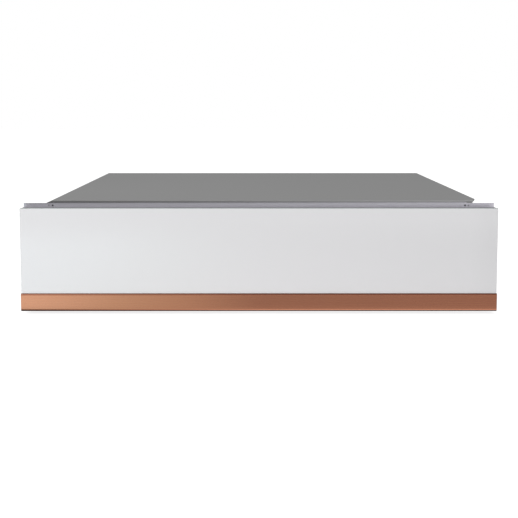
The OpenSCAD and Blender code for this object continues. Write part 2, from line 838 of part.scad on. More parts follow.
module front_glass() color(white_glass) along_x(2 * glass_x1) polygon([
    [glass_y0 + glass_cut, glass_z0],
    [glass_y1, glass_z0],
    [glass_y1, panel_z1],
    [glass_y0 + glass_cut, panel_z1],
    [glass_y0, panel_z1 - glass_cut],
    [glass_y0, glass_z0 + glass_cut]
]);

module trim_strip() color(copper) along_x(front_w) polygon([
    [strip_y0 + strip_low_cut, panel_ground],
    [pan_y0, panel_ground],
    [pan_y0, strip_z1],
    [strip_y0 + strip_top_cut, strip_z1],
    [strip_y0, strip_z1 - strip_top_cut],
    [strip_y0, panel_ground + strip_low_cut]
]);

module bonding_sheet() color([0.8, 0.8, 0.8])
    block([3 - glass_x1, glass_y1, glass_z0 + 3], [glass_x1 - 3, pan_y0, panel_z1 - 3]);

module front_pan() color(steel) difference() {
    block([-pan_x1, pan_y0, panel_ground + pan_inset], [pan_x1, back_y0, panel_z1 - pan_inset / 2]);
    block(
        [sheet - pan_x1, pan_y0 + sheet, panel_ground + pan_inset + sheet],
        [pan_x1 - sheet, back_y0 + 1, panel_z1 - pan_inset / 2 - sheet]
    );
}

module panel_back() color(steel) difference() {
    block([-pan_x1, back_y0, panel_ground + pan_inset], [pan_x1, panel_y1, panel_z1 - pan_inset / 2]);
    front_screw_places() screw_hole(8);
}

module drawer_tray() color(steel) difference() {
    union() {
        difference() {
            block([-box_x1, box_y0, floor_z0], [box_x1, box_y1, deck_z0]);
            block([-box_x0, box_y0 + sheet, floor_z1], [box_x0, box_y1 + 1, deck_z0 + 1]);
        }
        both_sides()
            block([box_x0 - wall_flange, box_y0 + sheet, deck_z0 - sheet], [box_x0, box_back, deck_z0]);
    }
    both_sides() runner_screw_places() screw_hole(4);
    front_screw_places() screw_hole(8);
    deck_screw_places() screw_hole(8);
}

module drawer_rear() color(steel) difference() {
    block([-box_x0, box_back, floor_z1], [box_x0, box_y1, deck_z0]);
    rod_y(box_back - 1, box_y1 + 1, fan_x, fan_z, fan_r + 1.5);
    rod_y(box_back - 1, box_y1 + 1, muffler_x, port_z, nipple_r);
}

module deck() color(steel) difference() {
    block([-box_x1, box_y0, deck_z0], [box_x1, box_y1, deck_z1]);
    translate([0, 0, deck_z0 - 1]) linear_extrude(deck_t + 2) round_rect(
        -tub_x1 - seat_gap, tub_y0 - seat_gap, tub_x1 + seat_gap, tub_y1 + seat_gap, tub_r + seat_gap
    );
    deck_screw_places() screw_hole(8);
}

module drawer_screws() color(steel) {
    both_sides() runner_screw_places() screw(sheet + rail_t);
    front_screw_places() screw(sheet * 2 + 3);
    deck_screw_places() screw(deck_t + sheet + 2);
}

module chamber_tub() color([0.7, 0.7, 0.71]) difference() {
    union() {
        translate([0, 0, tub_z0]) linear_extrude(rim_z1 - tub_z0)
            round_rect(-tub_x1, tub_y0, tub_x1, tub_y1, tub_r);
        translate([0, 0, deck_z1]) linear_extrude(tub_t)
            round_rect(-tub_x1 - rim_w, tub_y0 - rim_w, tub_x1 + rim_w, tub_y1 + rim_w, tub_r + rim_w);
    }
    translate([0, 0, tub_z1]) linear_extrude(chamber_h + 1)
        round_rect(-tub_x1 + tub_t, tub_y0 + tub_t, tub_x1 - tub_t, tub_y1 - tub_t, tub_r - tub_t);
    rod_y(tub_y1 - tub_t - 1, tub_y1 + 1, port_x, port_z, nipple_r + run_play);
}

module suction_fitting() color([0.75, 0.75, 0.76]) difference() {
    union() {
        rod_y(tub_y1 - tub_t - 2, tub_y1 - tub_t, port_x, port_z, nipple_r + 4);
        rod_y(tub_y1 - tub_t - 1, tub_y1 + 9, port_x, port_z, nipple_r);
    }
    rod_y(tub_y1 - tub_t - 3, tub_y1 + 10, port_x, port_z, passage_r);
}

module control_glass() color([0.05, 0.05, 0.06]) translate([0, 0, deck_z1]) linear_extrude(control_t)
    round_rect(
        box_x1 - control_edge - control_w, tub_y0, box_x1 - control_edge, tub_y0 + control_d, 3
    );

module display_board() color(board_green) {
    x0 = box_x0 - wall_flange - 4 - control_w * 0.8;
    x1 = box_x0 - wall_flange - 4;
    y0 = tub_y0 + display_inset;
    y1 = tub_y0 + control_d - display_inset;
    block([x0, y0, deck_z0 - display_drop], [x1, y1, deck_z0 - display_drop + board_t]);
    for (x = [x0 + 5, x1 - 5], y = [y0 + 5, y1 - 5])
        rod_z(deck_z0 - display_drop, deck_z0, x, y, 2.5);
}

module lift_cylinders() color([0.7, 0.7, 0.72]) both_sides() difference() {
    rod_z(tub_z1, lifter_z1, lifter_x, bar_y, lifter_r);
    rod_z(tub_z1 + 8, lifter_z1 + 1, lifter_x, bar_y, lift_rod_r + run_play);
}

module sealing_bar() color([0.72, 0.72, 0.74]) {
    along_x(bar_len) polygon([
        [bar_y0, bar_z0],
        [bar_y0 + bar_w, bar_z0],
        [bar_y0 + bar_w, bar_z1 - 3],
        [bar_y0 + bar_w - 3, bar_z1],
        [bar_y0 + 3, bar_z1],
        [bar_y0, bar_z1 - 3]
    ]);
    both_sides() rod_z(tub_z1 + 12, bar_z0 + 1, lifter_x, bar_y, lift_rod_r);
}

module heating_band() color([0.5, 0.35, 0.22])
    block([5 - bar_len / 2, bar_y - band_w / 2, bar_z1], [bar_len / 2 - 5, bar_y + band_w / 2, band_z1]);

module lid_glass() color([0.6, 0.66, 0.68, 0.5]) translate([0, 0, lid_z0]) linear_extrude(lid_t)
    round_rect(-lid_x1, lid_y0, lid_x1, lid_y1, lid_r);

module lid_gasket() color(rubber) translate([0, 0, gasket_z0]) linear_extrude(gasket_h) difference() {
    rim = rim_w - 0.5;
    round_rect(-tub_x1 - rim, tub_y0 - rim, tub_x1 + rim, tub_y1 + rim, tub_r + rim);
    round_rect(-tub_x1 - 0.5, tub_y0 - 0.5, tub_x1 + 0.5, tub_y1 + 0.5, tub_r + 0.5);
}

module lid_grip() color([0.75, 0.75, 0.77]) difference() {
    along_x(2 * lid_x1) polygon([
        [lid_y0 - grip_d / 2 + 1, lid_z0 - grip_lip],
        [lid_y0 + rim_w - 1.5, lid_z0 - grip_lip],
        [lid_y0 + rim_w - 1.5, lid_z1 + grip_lip],
        [lid_y0 - grip_d / 2 + 3, lid_z1 + grip_lip],
        [lid_y0 - grip_d / 2, lid_z1 - 2],
        [lid_y0 - grip_d / 2, lid_z0]
    ]);
    block([-lid_x1 - 1, lid_y0, lid_z0], [lid_x1 + 1, lid_y0 + grip_d, lid_z1]);
}

module counter_bar() color([0.72, 0.72, 0.74])
    block(
        [-bar_len / 2 - 2, bar_y - bar_w * 0.4, counter_z0 + counter_strip_h],
        [bar_len / 2 + 2, bar_y + bar_w * 0.4, lid_z0]
    );

module counter_strip() color([0.75, 0.3, 0.2])
    block(
        [-bar_len / 2, bar_y - bar_w * 0.28, counter_z0],
        [bar_len / 2, bar_y + bar_w * 0.28, counter_z0 + counter_strip_h]
    );

module hinge_arms() color(steel) both_sides() difference() {
    x0 = hinge_x + move_gap;
    union() {
        rod_x(x0, x0 + knuckle_len, hinge_y, hinge_z, knuckle_r);
        block([x0, lid_y1 - arm_reach, lid_z1], [x0 + knuckle_len, hinge_y, hinge_z + knuckle_r]);
    }
    rod_x(x0 - 1, x0 + knuckle_len + 1, hinge_y, hinge_z, hinge_pin_r + run_play);
}

module hinge_brackets() color(steel) both_sides() difference() {
    union() {
        for (x = [hinge_x - ear_t, hinge_x + ear_gap]) {
            rod_x(x, x + ear_t, hinge_y, hinge_z, knuckle_r);
            block([x, hinge_y, deck_z1], [x + ear_t, hinge_y + bracket_d, hinge_z - 2]);
        }
        block(
            [hinge_x - ear_t, hinge_y + knuckle_r + 1, deck_z1],
            [hinge_x + ear_gap + ear_t, hinge_y + bracket_d, deck_z1 + 2]
        );
    }
    rod_x(hinge_x - ear_t - 1, hinge_x + ear_gap + ear_t + 1, hinge_y, hinge_z, hinge_pin_r + 0.02);
}

module hinge_pins() color([0.8, 0.8, 0.81]) both_sides() {
    rod_x(hinge_x - ear_t, hinge_x + ear_gap + ear_t, hinge_y, hinge_z, hinge_pin_r);
    rod_x(hinge_x + ear_gap + ear_t, hinge_x + ear_gap + ear_t + 1.5, hinge_y, hinge_z, hinge_pin_r + 1.5);
}

// Points and outward directions along one hinge spring, with a straight stretch at each end
spring_rings = 8;
spring_sides = 6;
spring_r = hinge_pin_r + 0.35 + spring_wire / 2;
function spring_angle(i) = 90 + 360 * i / spring_rings;
function spring_point(i) = [
    spring_x0 + spring_pitch * i / spring_rings,
    spring_r * cos(spring_angle(i)),
    spring_r * sin(spring_angle(i))
];
function spring_way(i) =
    let (w = [
        spring_pitch / 360 * 180 / PI,
        -spring_r * sin(spring_angle(i)),
        spring_r * cos(spring_angle(i))
    ]) w / norm(w);
function spring_out(i) = [0, cos(spring_angle(i)), sin(spring_angle(i))];
spring_last = spring_turns * spring_rings;
spring_path = concat(
    [spring_point(0) - spring_wire * spring_way(0)],
    [for (i = [0 : spring_last]) spring_point(i)],
    [spring_point(spring_last) + spring_wire * spring_way(spring_last)]
);
spring_index = concat([0], [for (i = [0 : spring_last]) i], [spring_last]);
spring_skin = [
    for (i = [0 : len(spring_path) - 1], k = [0 : spring_sides - 1])
        let (
            out = spring_out(spring_index[i]),
            side = cross(spring_way(spring_index[i]), out),
            a = 360 * k / spring_sides
        )
        spring_path[i] + spring_wire / 2 * (cos(a) * out + sin(a) * side)
];
spring_faces = concat(
    [[for (k = [0 : spring_sides - 1]) k]],
    [
        for (i = [0 : len(spring_path) - 2], k = [0 : spring_sides - 1])
            let (
                a = i * spring_sides + k,
                b = i * spring_sides + (k + 1) % spring_sides
            )
            each [[a, a + spring_sides, b + spring_sides], [a, b + spring_sides, b]]
    ],
    [[for (k = [spring_sides - 1 : -1 : 0]) (len(spring_path) - 1) * spring_sides + k]]
);
spring_self_gap = min([
    for (i = [0 : len(spring_path) - 1], j = [i + 4 : 1 : len(spring_path) - 1])
        norm(spring_path[i] - spring_path[j])
]) - spring_wire;
echo(least_self_gap_of_hinge_spring = spring_self_gap);

module hinge_springs() color([0.78, 0.78, 0.8]) both_sides()
    translate([0, hinge_y, hinge_z]) polyhedron(spring_skin, spring_faces);

module motor_casing() color([0.35, 0.36, 0.38]) difference() {
    union() {
        rod_x(motor_x0, pump_x0, shaft_y, shaft_z, motor_r);
        block(
            [core_x0, shaft_y - motor_r * 0.75, motor_foot_z],
            [core_x0 + core_len, shaft_y + motor_r * 0.75, shaft_z - motor_r * 0.6]
        );
    }
    rod_x(motor_x0 + motor_wall, pump_x0 - motor_wall, shaft_y, shaft_z, motor_r - motor_wall);
    rod_x(motor_x0 - 1, pump_x0 + 1, shaft_y, shaft_z, shaft_r + run_play);
    for (i = [0 : 7])
        translate([0, shaft_y, shaft_z]) rotate([45 * i, 0, 0])
            rod_x(motor_x0 - 1, motor_x0 + motor_wall + 1, 0, motor_r * 0.6, 4);
}

module motor_stator() color(copper) difference() {
    rod_x(core_x0, core_x0 + core_len, shaft_y, shaft_z, motor_r - motor_wall);
    rod_x(core_x0 - 1, core_x0 + core_len + 1, shaft_y, shaft_z, rotor_r + 1);
}

module motor_rotor() color(steel) {
    rod_x(motor_x0 + 0.5, pump_x1 - 1, shaft_y, shaft_z, shaft_r);
    rod_x(core_x0, core_x0 + core_len, shaft_y, shaft_z, rotor_r);
}

module pump_body() color([0.6, 0.61, 0.63]) difference() {
    union() {
        for (i = [0 : 6])
            translate([pump_x0 + i * pump_len / 7, 0, 0]) block(
                [0, pump_y0, pump_z0],
                [pump_len / 7 * 0.55, pump_y0 + pump_w, pump_z0 + pump_w]
            );
        block(
            [pump_x0, pump_y0 + 3, pump_z0],
            [pump_x1, pump_y0 + pump_w - 3, pump_z0 + pump_w - 3]
        );
        rod_y(pump_y0 - 5, pump_y0 + 4, hose_in_x, port_z, nipple_r);
    }
    rod_x(pump_x0 + 6, pump_x1 + 1, shaft_y, shaft_z + pump_offset, pump_bore_r);
    rod_x(pump_x0 - 1, pump_x0 + 7, shaft_y, shaft_z, shaft_r + run_play);
    rod_y(pump_y0 - 6, shaft_y - pump_bore_r / 2, hose_in_x, port_z, passage_r);
}

module pump_rotor() color([0.45, 0.46, 0.48]) difference() {
    rod_x(pump_x0 + 6.5, pump_x1 - 0.5, shaft_y, shaft_z, pump_rotor_r);
    rod_x(pump_x0, pump_x1 + 1, shaft_y, shaft_z, shaft_r + 0.02);
    for (i = [0 : 3])
        translate([0, shaft_y, shaft_z]) rotate([45 + 90 * i, 0, 0])
            block([pump_x0, -1.5, pump_rotor_r - 12], [pump_x1, 1.5, pump_rotor_r + 1]);
}

module pump_cover() color([0.56, 0.57, 0.59]) difference() {
    union() {
        block([pump_x1, pump_y0, pump_z0], [pump_x1 + pump_cover_t, pump_y0 + pump_w, pump_z0 + pump_w]);
        rod_x(pump_x1, outlet_x + 5, outlet_y, port_z, nipple_r);
    }
    rod_x(pump_x1 - 1, outlet_x + 6, outlet_y, port_z, passage_r);
}

module rubber_mounts() color(rubber) {
    for (x = [core_x0 + rubber_r + 2, core_x0 + core_len - rubber_r - 2], side = [-1, 1])
        rod_z(floor_z1, motor_foot_z, x, shaft_y + side * motor_mount_y, rubber_r);
    for (x = [pump_x0 + rubber_r + 4, pump_x1 - rubber_r - 4], side = [-1, 1])
        rod_z(floor_z1, pump_z0, x, shaft_y + side * pump_mount_y, rubber_r);
}

module fan_frame() color(black_plastic) {
    difference() {
        block(
            [fan_x - fan_size / 2, fan_y0, fan_z - fan_size / 2],
            [fan_x + fan_size / 2, fan_y1, fan_z + fan_size / 2]
        );
        rod_y(fan_y0 - 1, fan_y1 + 1, fan_x, fan_z, fan_r + 1.5);
    }
    rod_y(fan_y0, fan_y0 + 3, fan_x, fan_z, fan_hub_r);
    rod_y(fan_y0, fan_y0 + 12, fan_x, fan_z, 3);
    for (i = [0 : 3])
        translate([fan_x, 0, fan_z]) rotate([0, 45 + 90 * i, 0])
            block([fan_hub_r - 1, fan_y0, -1.5], [fan_r + 2.5, fan_y0 + 3, 1.5]);
    block(
        [fan_x - fan_size / 2, fan_y0, floor_z1],
        [fan_x + fan_size / 2, fan_y1, fan_z - fan_size / 2]
    );
}

module fan_impeller() color([0.16, 0.16, 0.17]) difference() {
    union() {
        rod_y(fan_y0 + 3.6, fan_y1 - 4.4, fan_x, fan_z, fan_hub_r);
        intersection() {
            rod_y(fan_y0 + 3.6, fan_y1 - 4.4, fan_x, fan_z, fan_r);
            for (i = [0 : blade_count - 1])
                translate([fan_x, blade_y, fan_z])
                    rotate([0, 360 / blade_count * i, 0]) rotate([0, 0, blade_angle])
                        block(
                            [-blade_chord / 2, -blade_t / 2, fan_hub_r - 1],
                            [blade_chord / 2, blade_t / 2, fan_r + 2]
                        );
        }
    }
    rod_y(fan_y0, fan_y0 + 13, fan_x, fan_z, 3 + run_play);
}

module transformer_core() color([0.3, 0.3, 0.32]) difference() {
    block(
        [trafo_x - trafo_w / 2, trafo_y - trafo_d / 2, floor_z1],
        [trafo_x + trafo_w / 2, trafo_y + trafo_d / 2, floor_z1 + trafo_h]
    );
    for (x = [-1, 1])
        translate([trafo_x + x * trafo_w / 4, trafo_y, floor_z1 + trafo_h / 2])
            block([-trafo_w / 12, -trafo_d, -trafo_h / 3], [trafo_w / 12, trafo_d, trafo_h / 3]);
}

module transformer_coil() color([0.72, 0.5, 0.2]) difference() {
    wide = trafo_w / 3 - seat_gap;
    tall = trafo_h / 3 - seat_gap;
    translate([trafo_x, trafo_y, floor_z1 + trafo_h / 2])
        block([-wide, -trafo_d / 2 - 11, -tall], [wide, trafo_d / 2 + 11, tall]);
    translate([trafo_x, trafo_y, floor_z1 + trafo_h / 2]) block(
        [-trafo_w / 6 - seat_gap, -trafo_d / 2 - seat_gap, -trafo_h],
        [trafo_w / 6 + seat_gap, trafo_d / 2 + seat_gap, trafo_h]
    );
}

module main_board() color(board_green) {
    block([board_x0, board_y0, board_z0], [board_x1, board_y1, board_z1]);
    for (x = [board_x0 + 6, board_x1 - 6], y = [board_y0 + 6, board_y1 - 6])
        rod_z(floor_z1, board_z0 + 1, x, y, 3);
    for (i = [0 : 2])
        rod_z(
            board_z1 - 0.5, board_z1 + capacitor_h,
            board_x0 + 2 * capacitor_r + 1, board_y0 + part_y0 + i * part_step, capacitor_r
        );
    for (i = [0 : 2])
        translate([board_x0 + 4 * capacitor_r + 4, board_y0 + part_y0 + i * part_step, board_z1])
            block([0, -relay_d / 2, -0.5], [relay_w, relay_d / 2, relay_h]);
    translate([board_x1 - board_edge - sink_w, board_y0 + board_edge, board_z1 - 0.5]) {
        cube([sink_w, sink_d, 5]);
        for (i = [0 : 5])
            translate([i * (sink_w - fin_t) / 5, 0, 0]) cube([fin_t, sink_d, sink_h + 0.5]);
    }
}

module valve_block() color([0.68, 0.68, 0.7]) difference() {
    union() {
        block([valve_x0, valve_y0, floor_z1], [valve_x1, valve_y1, valve_z1]);
        rod_x(valve_x0 - 6, valve_x0 + 1, port_y(), port_z, nipple_r);
        rod_y(valve_y0 - 6, valve_y0 + 1, port_x, port_z, nipple_r);
    }
    rod_x(valve_x0 - 7, port_x, port_y(), port_z, passage_r);
    rod_y(valve_y0 - 7, port_y(), port_x, port_z, passage_r);
}

module valve_coils() color([0.12, 0.14, 0.2]) for (side = [-1, 1]) difference() {
    x = port_x + side * coil_step;
    rod_z(valve_z1, valve_z1 + coil_h, x, port_y(), coil_r);
    rod_z(valve_z1 - 1, valve_z1 + coil_h - 3, x, port_y(), plunger_r + run_play);
}

// Plunger of one valve, seated on the block
module plunger(side) {
    rod_z(
        valve_z1 + 0.2, valve_z1 + coil_h - 3.5 - plunger_lift,
        port_x + side * coil_step, port_y(), plunger_r
    );
}

module suction_plunger() color(steel) plunger(-1);

module vent_plunger() color(steel) plunger(1);

// Straight stretch of hose along the child space's Z
module hose_run(length) {
    difference() {
        cylinder(r = hose_r, h = length);
        translate([0, 0, -1]) cylinder(r = nipple_r + run_play, h = length + 2);
    }
}

// Quarter bend of hose
module hose_elbow() {
    rotate_extrude(angle = 90) translate([hose_bend, 0]) difference() {
        circle(hose_r);
        circle(nipple_r + run_play);
    }
}

module hoses() color([0.16, 0.16, 0.17]) {
    translate([port_x, tub_y1 + seat_gap, port_z]) rotate([-90, 0, 0])
        hose_run(valve_y0 - tub_y1 - 2 * seat_gap);
    union() {
        translate([valve_x0 - seat_gap, port_y(), port_z]) rotate([0, -90, 0]) hose_run(10 - seat_gap);
        translate([valve_x0 - 10, hose_in_y, port_z]) rotate([0, 0, 180]) hose_elbow();
        translate([hose_in_x, hose_in_y, port_z]) rotate([-90, 0, 0])
            hose_run(pump_y0 - hose_in_y - seat_gap);
    }
    union() {
        translate([outlet_x + seat_gap, outlet_y, port_z]) rotate([0, 90, 0]) hose_run(8 - seat_gap);
        translate([outlet_x + 8, outlet_y + hose_bend, port_z]) rotate([0, 0, -90]) hose_elbow();
        translate([muffler_x, outlet_y + hose_bend, port_z]) rotate([-90, 0, 0])
            hose_run(muffler_y0 - outlet_y - hose_bend - seat_gap);
    }
}

module exhaust_muffler() color([0.2, 0.2, 0.22]) difference() {
    union() {
        rod_y(muffler_y0, box_back, muffler_x, port_z, muffler_r);
        rod_y(muffler_y0 - 3.5, muffler_y0 + 1, muffler_x, port_z, nipple_r);
    }
    rod_y(muffler_y0 - 5, box_back + 1, muffler_x, port_z, passage_r);
}

housing_shell();
rear_wall();
top_tray();
top_cover();
front_frame();
outer_rails();
housing_screws();
latch_body();
mains_inlet();
feet();
front_buffers();
latch_plunger();
middle_rails();
outer_ball_cages();
inner_ball_cages();
inner_rails();
drawer_screws();
front_glass();
trim_strip();
bonding_sheet();
front_pan();
panel_back();
drawer_tray();
drawer_rear();
deck();
latch_striker();
chamber_tub();
suction_fitting();
control_glass();
display_board();
lift_cylinders();
hinge_brackets();
hinge_pins();
hinge_springs();
motor_casing();
motor_stator();
pump_body();
pump_cover();
rubber_mounts();
fan_frame();
transformer_core();
transformer_coil();
main_board();
valve_block();
valve_coils();
hoses();
exhaust_muffler();
sealing_bar();
heating_band();
lid_glass();
lid_gasket();
lid_grip();
counter_bar();
counter_strip();
hinge_arms();
motor_rotor();
pump_rotor();
fan_impeller();
suction_plunger();
vent_plunger();
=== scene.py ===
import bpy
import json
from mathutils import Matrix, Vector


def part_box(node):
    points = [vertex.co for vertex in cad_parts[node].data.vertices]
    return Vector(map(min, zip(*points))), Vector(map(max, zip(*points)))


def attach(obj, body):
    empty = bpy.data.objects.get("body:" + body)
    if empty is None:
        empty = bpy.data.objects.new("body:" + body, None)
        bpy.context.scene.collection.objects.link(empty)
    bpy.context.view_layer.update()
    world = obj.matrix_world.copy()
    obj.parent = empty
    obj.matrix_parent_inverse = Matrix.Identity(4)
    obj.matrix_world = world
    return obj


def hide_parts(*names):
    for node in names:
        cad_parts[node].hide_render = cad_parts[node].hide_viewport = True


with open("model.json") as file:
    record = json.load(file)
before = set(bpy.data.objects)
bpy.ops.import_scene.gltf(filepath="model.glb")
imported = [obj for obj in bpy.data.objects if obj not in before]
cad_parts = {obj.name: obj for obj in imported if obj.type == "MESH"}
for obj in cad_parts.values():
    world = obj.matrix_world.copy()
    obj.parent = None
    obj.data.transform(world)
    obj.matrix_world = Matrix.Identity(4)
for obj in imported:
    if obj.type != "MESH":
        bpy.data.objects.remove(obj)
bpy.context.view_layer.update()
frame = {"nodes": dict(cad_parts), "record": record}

import json
import math

import bpy
from mathutils import Vector

bl_info = {
    "name": "Vacuum Sealing Drawer",
    "version": (1, 0, 0),
    "blender": (4, 5, 0),
    "location": "View3D > Sidebar > Drawer",
    "description": "Dresses a built-in vacuum sealing drawer with its sheet metal, glass and fittings",
    "category": "Object",
}

NODES = frame["nodes"]
BODY_OF = {node: body for body, nodes in frame["record"]["behaviour"]["bodies"].items() for node in nodes}
SLOT_OF = {part["node"]: part["material_slot"] for part in frame["record"]["subparts"]}
MM = 0.001
AXES = {"X": Vector((1, 0, 0)), "Y": Vector((0, 1, 0)), "Z": Vector((0, 0, 1))}
AXIS_TURN = {"X": (0, math.pi / 2, 0), "Y": (-math.pi / 2, 0, 0), "Z": (0, 0, 0)}


def span_of(node):
    """Lowest and highest corner of a CAD node."""
    return [Vector(corner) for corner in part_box(node)]


def low(node):
    return span_of(node)[0]


def high(node):
    return span_of(node)[1]


def middle(node):
    a, b = span_of(node)
    return (a + b) / 2


# Sizes and colours that a user would change

def size(name, text, value):
    """A length property in metres."""
    return bpy.props.FloatProperty(
        name=name, description=text, default=value, min=0.0, precision=4, unit="LENGTH"
    )


def colour(name, text, value):
    """A colour property."""
    return bpy.props.FloatVectorProperty(
        name=name, description=text, default=value, size=3, min=0, max=1, subtype="COLOR"
    )


class DrawerSizes(bpy.types.PropertyGroup):
    glass_arris: size("Glass arris", "Ground edge of the front glass", 0.35 * MM)
    strip_edge: size("Strip edge", "Rounding of the copper strip's long edges", 0.35 * MM)
    bend: size("Bend radius", "Radius of the folds in the sheet metal", 1.6 * MM)
    sheet: size("Sheet", "Thickness of the sheet metal", 1.2 * MM)
    tub_fillet: size("Chamber fillet", "Radius between the chamber's floor and walls", 14 * MM)


class DrawerColours(bpy.types.PropertyGroup):
    glass: colour("White glass", "Paint behind the front glass", (0.835, 0.833, 0.848))
    copper: colour("Copper tone", "Anodised tone of the strip", (0.44, 0.178, 0.102))
    cover: colour("Top cover", "Brushed grey of the top cover", (0.24, 0.24, 0.24))
    frame: colour("Front frame", "Coated grey of the front frame", (0.60, 0.585, 0.64))
    zinc: colour("Zinc sheet", "Bright zinc of the housing", (0.50, 0.50, 0.51))
    stainless: colour("Stainless steel", "Brushed deck and chamber", (0.56, 0.56, 0.57))
    aluminium: colour("Aluminium", "Satin aluminium bars", (0.60, 0.60, 0.62))
    plastic: colour("Black plastic", "Matt mouldings", (0.018, 0.018, 0.02))
    silicone: colour("Silicone", "Strip that the bag is pressed on", (0.48, 0.11, 0.05))


def sizes():
    return bpy.context.scene.drawer_sizes


def colours():
    return bpy.context.scene.drawer_colours


# Shader arithmetic

class Wire:
    """A shader value; each sum with it adds a Math node."""

    def __init__(self, tree, socket):
        self.tree = tree
        self.socket = socket

    def join(self, operation, other):
        return self.tree.add("ShaderNodeMath", {"operation": operation}, (self, other))

    def __add__(self, other):
        return self.join("ADD", other)

    def __sub__(self, other):
        return self.join("SUBTRACT", other)

    def __mul__(self, other):
        return self.join("MULTIPLY", other)

    def __truediv__(self, other):
        return self.join("DIVIDE", other)

    def __lt__(self, other):
        return self.join("LESS_THAN", other)

    def wrapped(self, span):
        """The value folded back and forth between 0 and span."""
        return self.join("PINGPONG", span)


class Tree:
    """The nodes of a material or of the world."""

    def __init__(self, owner):
        owner.use_nodes = True
        self.nodes = owner.node_tree.nodes
        self.links = owner.node_tree.links

    def link(self, value, socket):
        """Links a shader value to an input, or sets the input to a plain one."""
        if isinstance(value, Wire):
            self.links.new(value.socket, socket)
        else:
            socket.default_value = value

    def add(self, kind, settings=None, inputs=(), output=0):
        """Adds a node with its settings and its inputs by name or number, and returns one output."""
        node = self.nodes.new(kind)
        for key, value in (settings or {}).items():
            setattr(node, key, value)
        for key, value in inputs.items() if isinstance(inputs, dict) else enumerate(inputs):
            self.link(value, node.inputs[key])
        return Wire(self, node.outputs[output])

    def axis(self, place, number):
        """One coordinate of a place."""
        return self.add("ShaderNodeSeparateXYZ", inputs=(place,), output=number)

    def ramp(self, value, start, end):
        """0 to 1 while the value goes from start to end."""
        return self.add("ShaderNodeMapRange", inputs={"Value": value, "From Min": start, "From Max": end})

    def blend(self, factor, one, other):
        """One colour or the other, by factor."""
        one, other = [c if isinstance(c, Wire) else (*c, 1) for c in (one, other)]
        inputs = {"Factor": factor, 6: one, 7: other}
        return self.add("ShaderNodeMix", {"data_type": "RGBA"}, inputs, output=2)

    def stops(self, factor, row):
        """A row of colours or greys at their places, by factor."""
        wire = self.add("ShaderNodeValToRGB", inputs=(factor,))
        elements = wire.socket.node.color_ramp.elements
        while len(elements) < len(row):
            elements.new(0.5)
        for element, (place, value) in zip(elements, row):
            element.position = place
            element.color = (*value, 1) if isinstance(value, tuple) else (value, value, value, 1)
        return wire

    def seen(self):
        """1 for what is seen straight or through glass, 0 for what only lights or is mirrored."""
        camera, clear = [
            self.add("ShaderNodeLightPath", output=kind) for kind in ("Is Camera Ray", "Is Transmission Ray")
        ]
        return camera.join("MAXIMUM", clear)


class Finish(Tree):
    """One material: a Principled shader and the nodes that vary it."""

    def __init__(self, name, base, roughness=0.5, metallic=0.0, **constants):
        self.material = bpy.data.materials.new(name)
        super().__init__(self.material)
        self.shader = self.nodes["Principled BSDF"]
        self.base = tuple(base)
        constants.update(Base_Color=(*base, 1), Roughness=roughness, Metallic=metallic)
        for socket, value in constants.items():
            self.set(socket.replace("_", " "), value)

    def set(self, socket, value):
        """Sets or links an input of the shader."""
        self.link(value, self.shader.inputs[socket])

    def place(self, scale=(1, 1, 1)):
        """Object coordinates in millimetres, stretched by scale."""
        where = self.add("ShaderNodeTexCoord", output="Object")
        return self.add("ShaderNodeMapping", inputs={"Vector": where, "Scale": [s / MM for s in scale]})

    def noise(self, place, scale=1.0, detail=3.0, roughness=0.55):
        inputs = {"Vector": place, "Scale": scale, "Detail": detail, "Roughness": roughness}
        return self.add("ShaderNodeTexNoise", inputs=inputs)

    def cells(self, place, scale, randomness=1.0, distance="EUCLIDEAN", output=0):
        """Cells round scattered points: the distance to the point, or with output 1 a colour of its own."""
        inputs = {"Vector": place, "Scale": scale, "Randomness": randomness}
        return self.add("ShaderNodeTexVoronoi", {"feature": "F1", "distance": distance}, inputs, output)

    def mixed(self, one, other, share):
        """A share of one value and the rest of the other."""
        return one * share + other * (1 - share)

    def tone(self, factor, dark, light):
        """A colour between two multiples of the material's own, by factor."""
        shades = [[min(1, c * share) for c in self.base] for share in (dark, light)]
        return self.blend(factor, *shades)

    def shade(self, factor, dark, light):
        self.set("Base Color", self.tone(factor, dark, light))

    def roughen(self, factor, least, spread):
        self.set("Roughness", factor * spread + least)

    def bump(self, height, distance):
        """Relief from a height, with its full depth in millimetres."""
        self.set("Normal", self.add("ShaderNodeBump", inputs={
            "Height": height, "Distance": distance * MM, "Strength": 1.0,
        }))


def brushed(name, base, along, roughness=0.3, metallic=1.0, depth=0.01, spread=0.12):
    """Metal with a straight grain along one axis."""
    f = Finish(name, base, roughness, metallic)
    grain = f.noise(f.place(along), 2.2, 4, 0.6)
    broad = f.noise(f.place([a * 0.12 for a in along]), 1.0, 2)
    both = f.mixed(grain, broad, 0.7)
    f.shade(both, 0.9, 1.1)
    f.roughen(both, roughness - spread / 2, spread)
    f.bump(grain, depth)
    return f.material


def mottled(name, base, roughness, metallic=0.0, grain=1.0, depth=0.02, dark=0.85, light=1.15):
    """Plastic, rubber, paint or cast metal with a fine even texture."""
    f = Finish(name, base, roughness, metallic)
    fine = f.noise(f.place(), grain, 3)
    broad = f.noise(f.place(), 0.03, 2)
    spread = 0.12
    f.shade(f.mixed(broad, fine, 0.6), dark, light)
    f.roughen(fine, roughness - spread / 2, spread)
    f.bump(fine, depth)
    return f.material


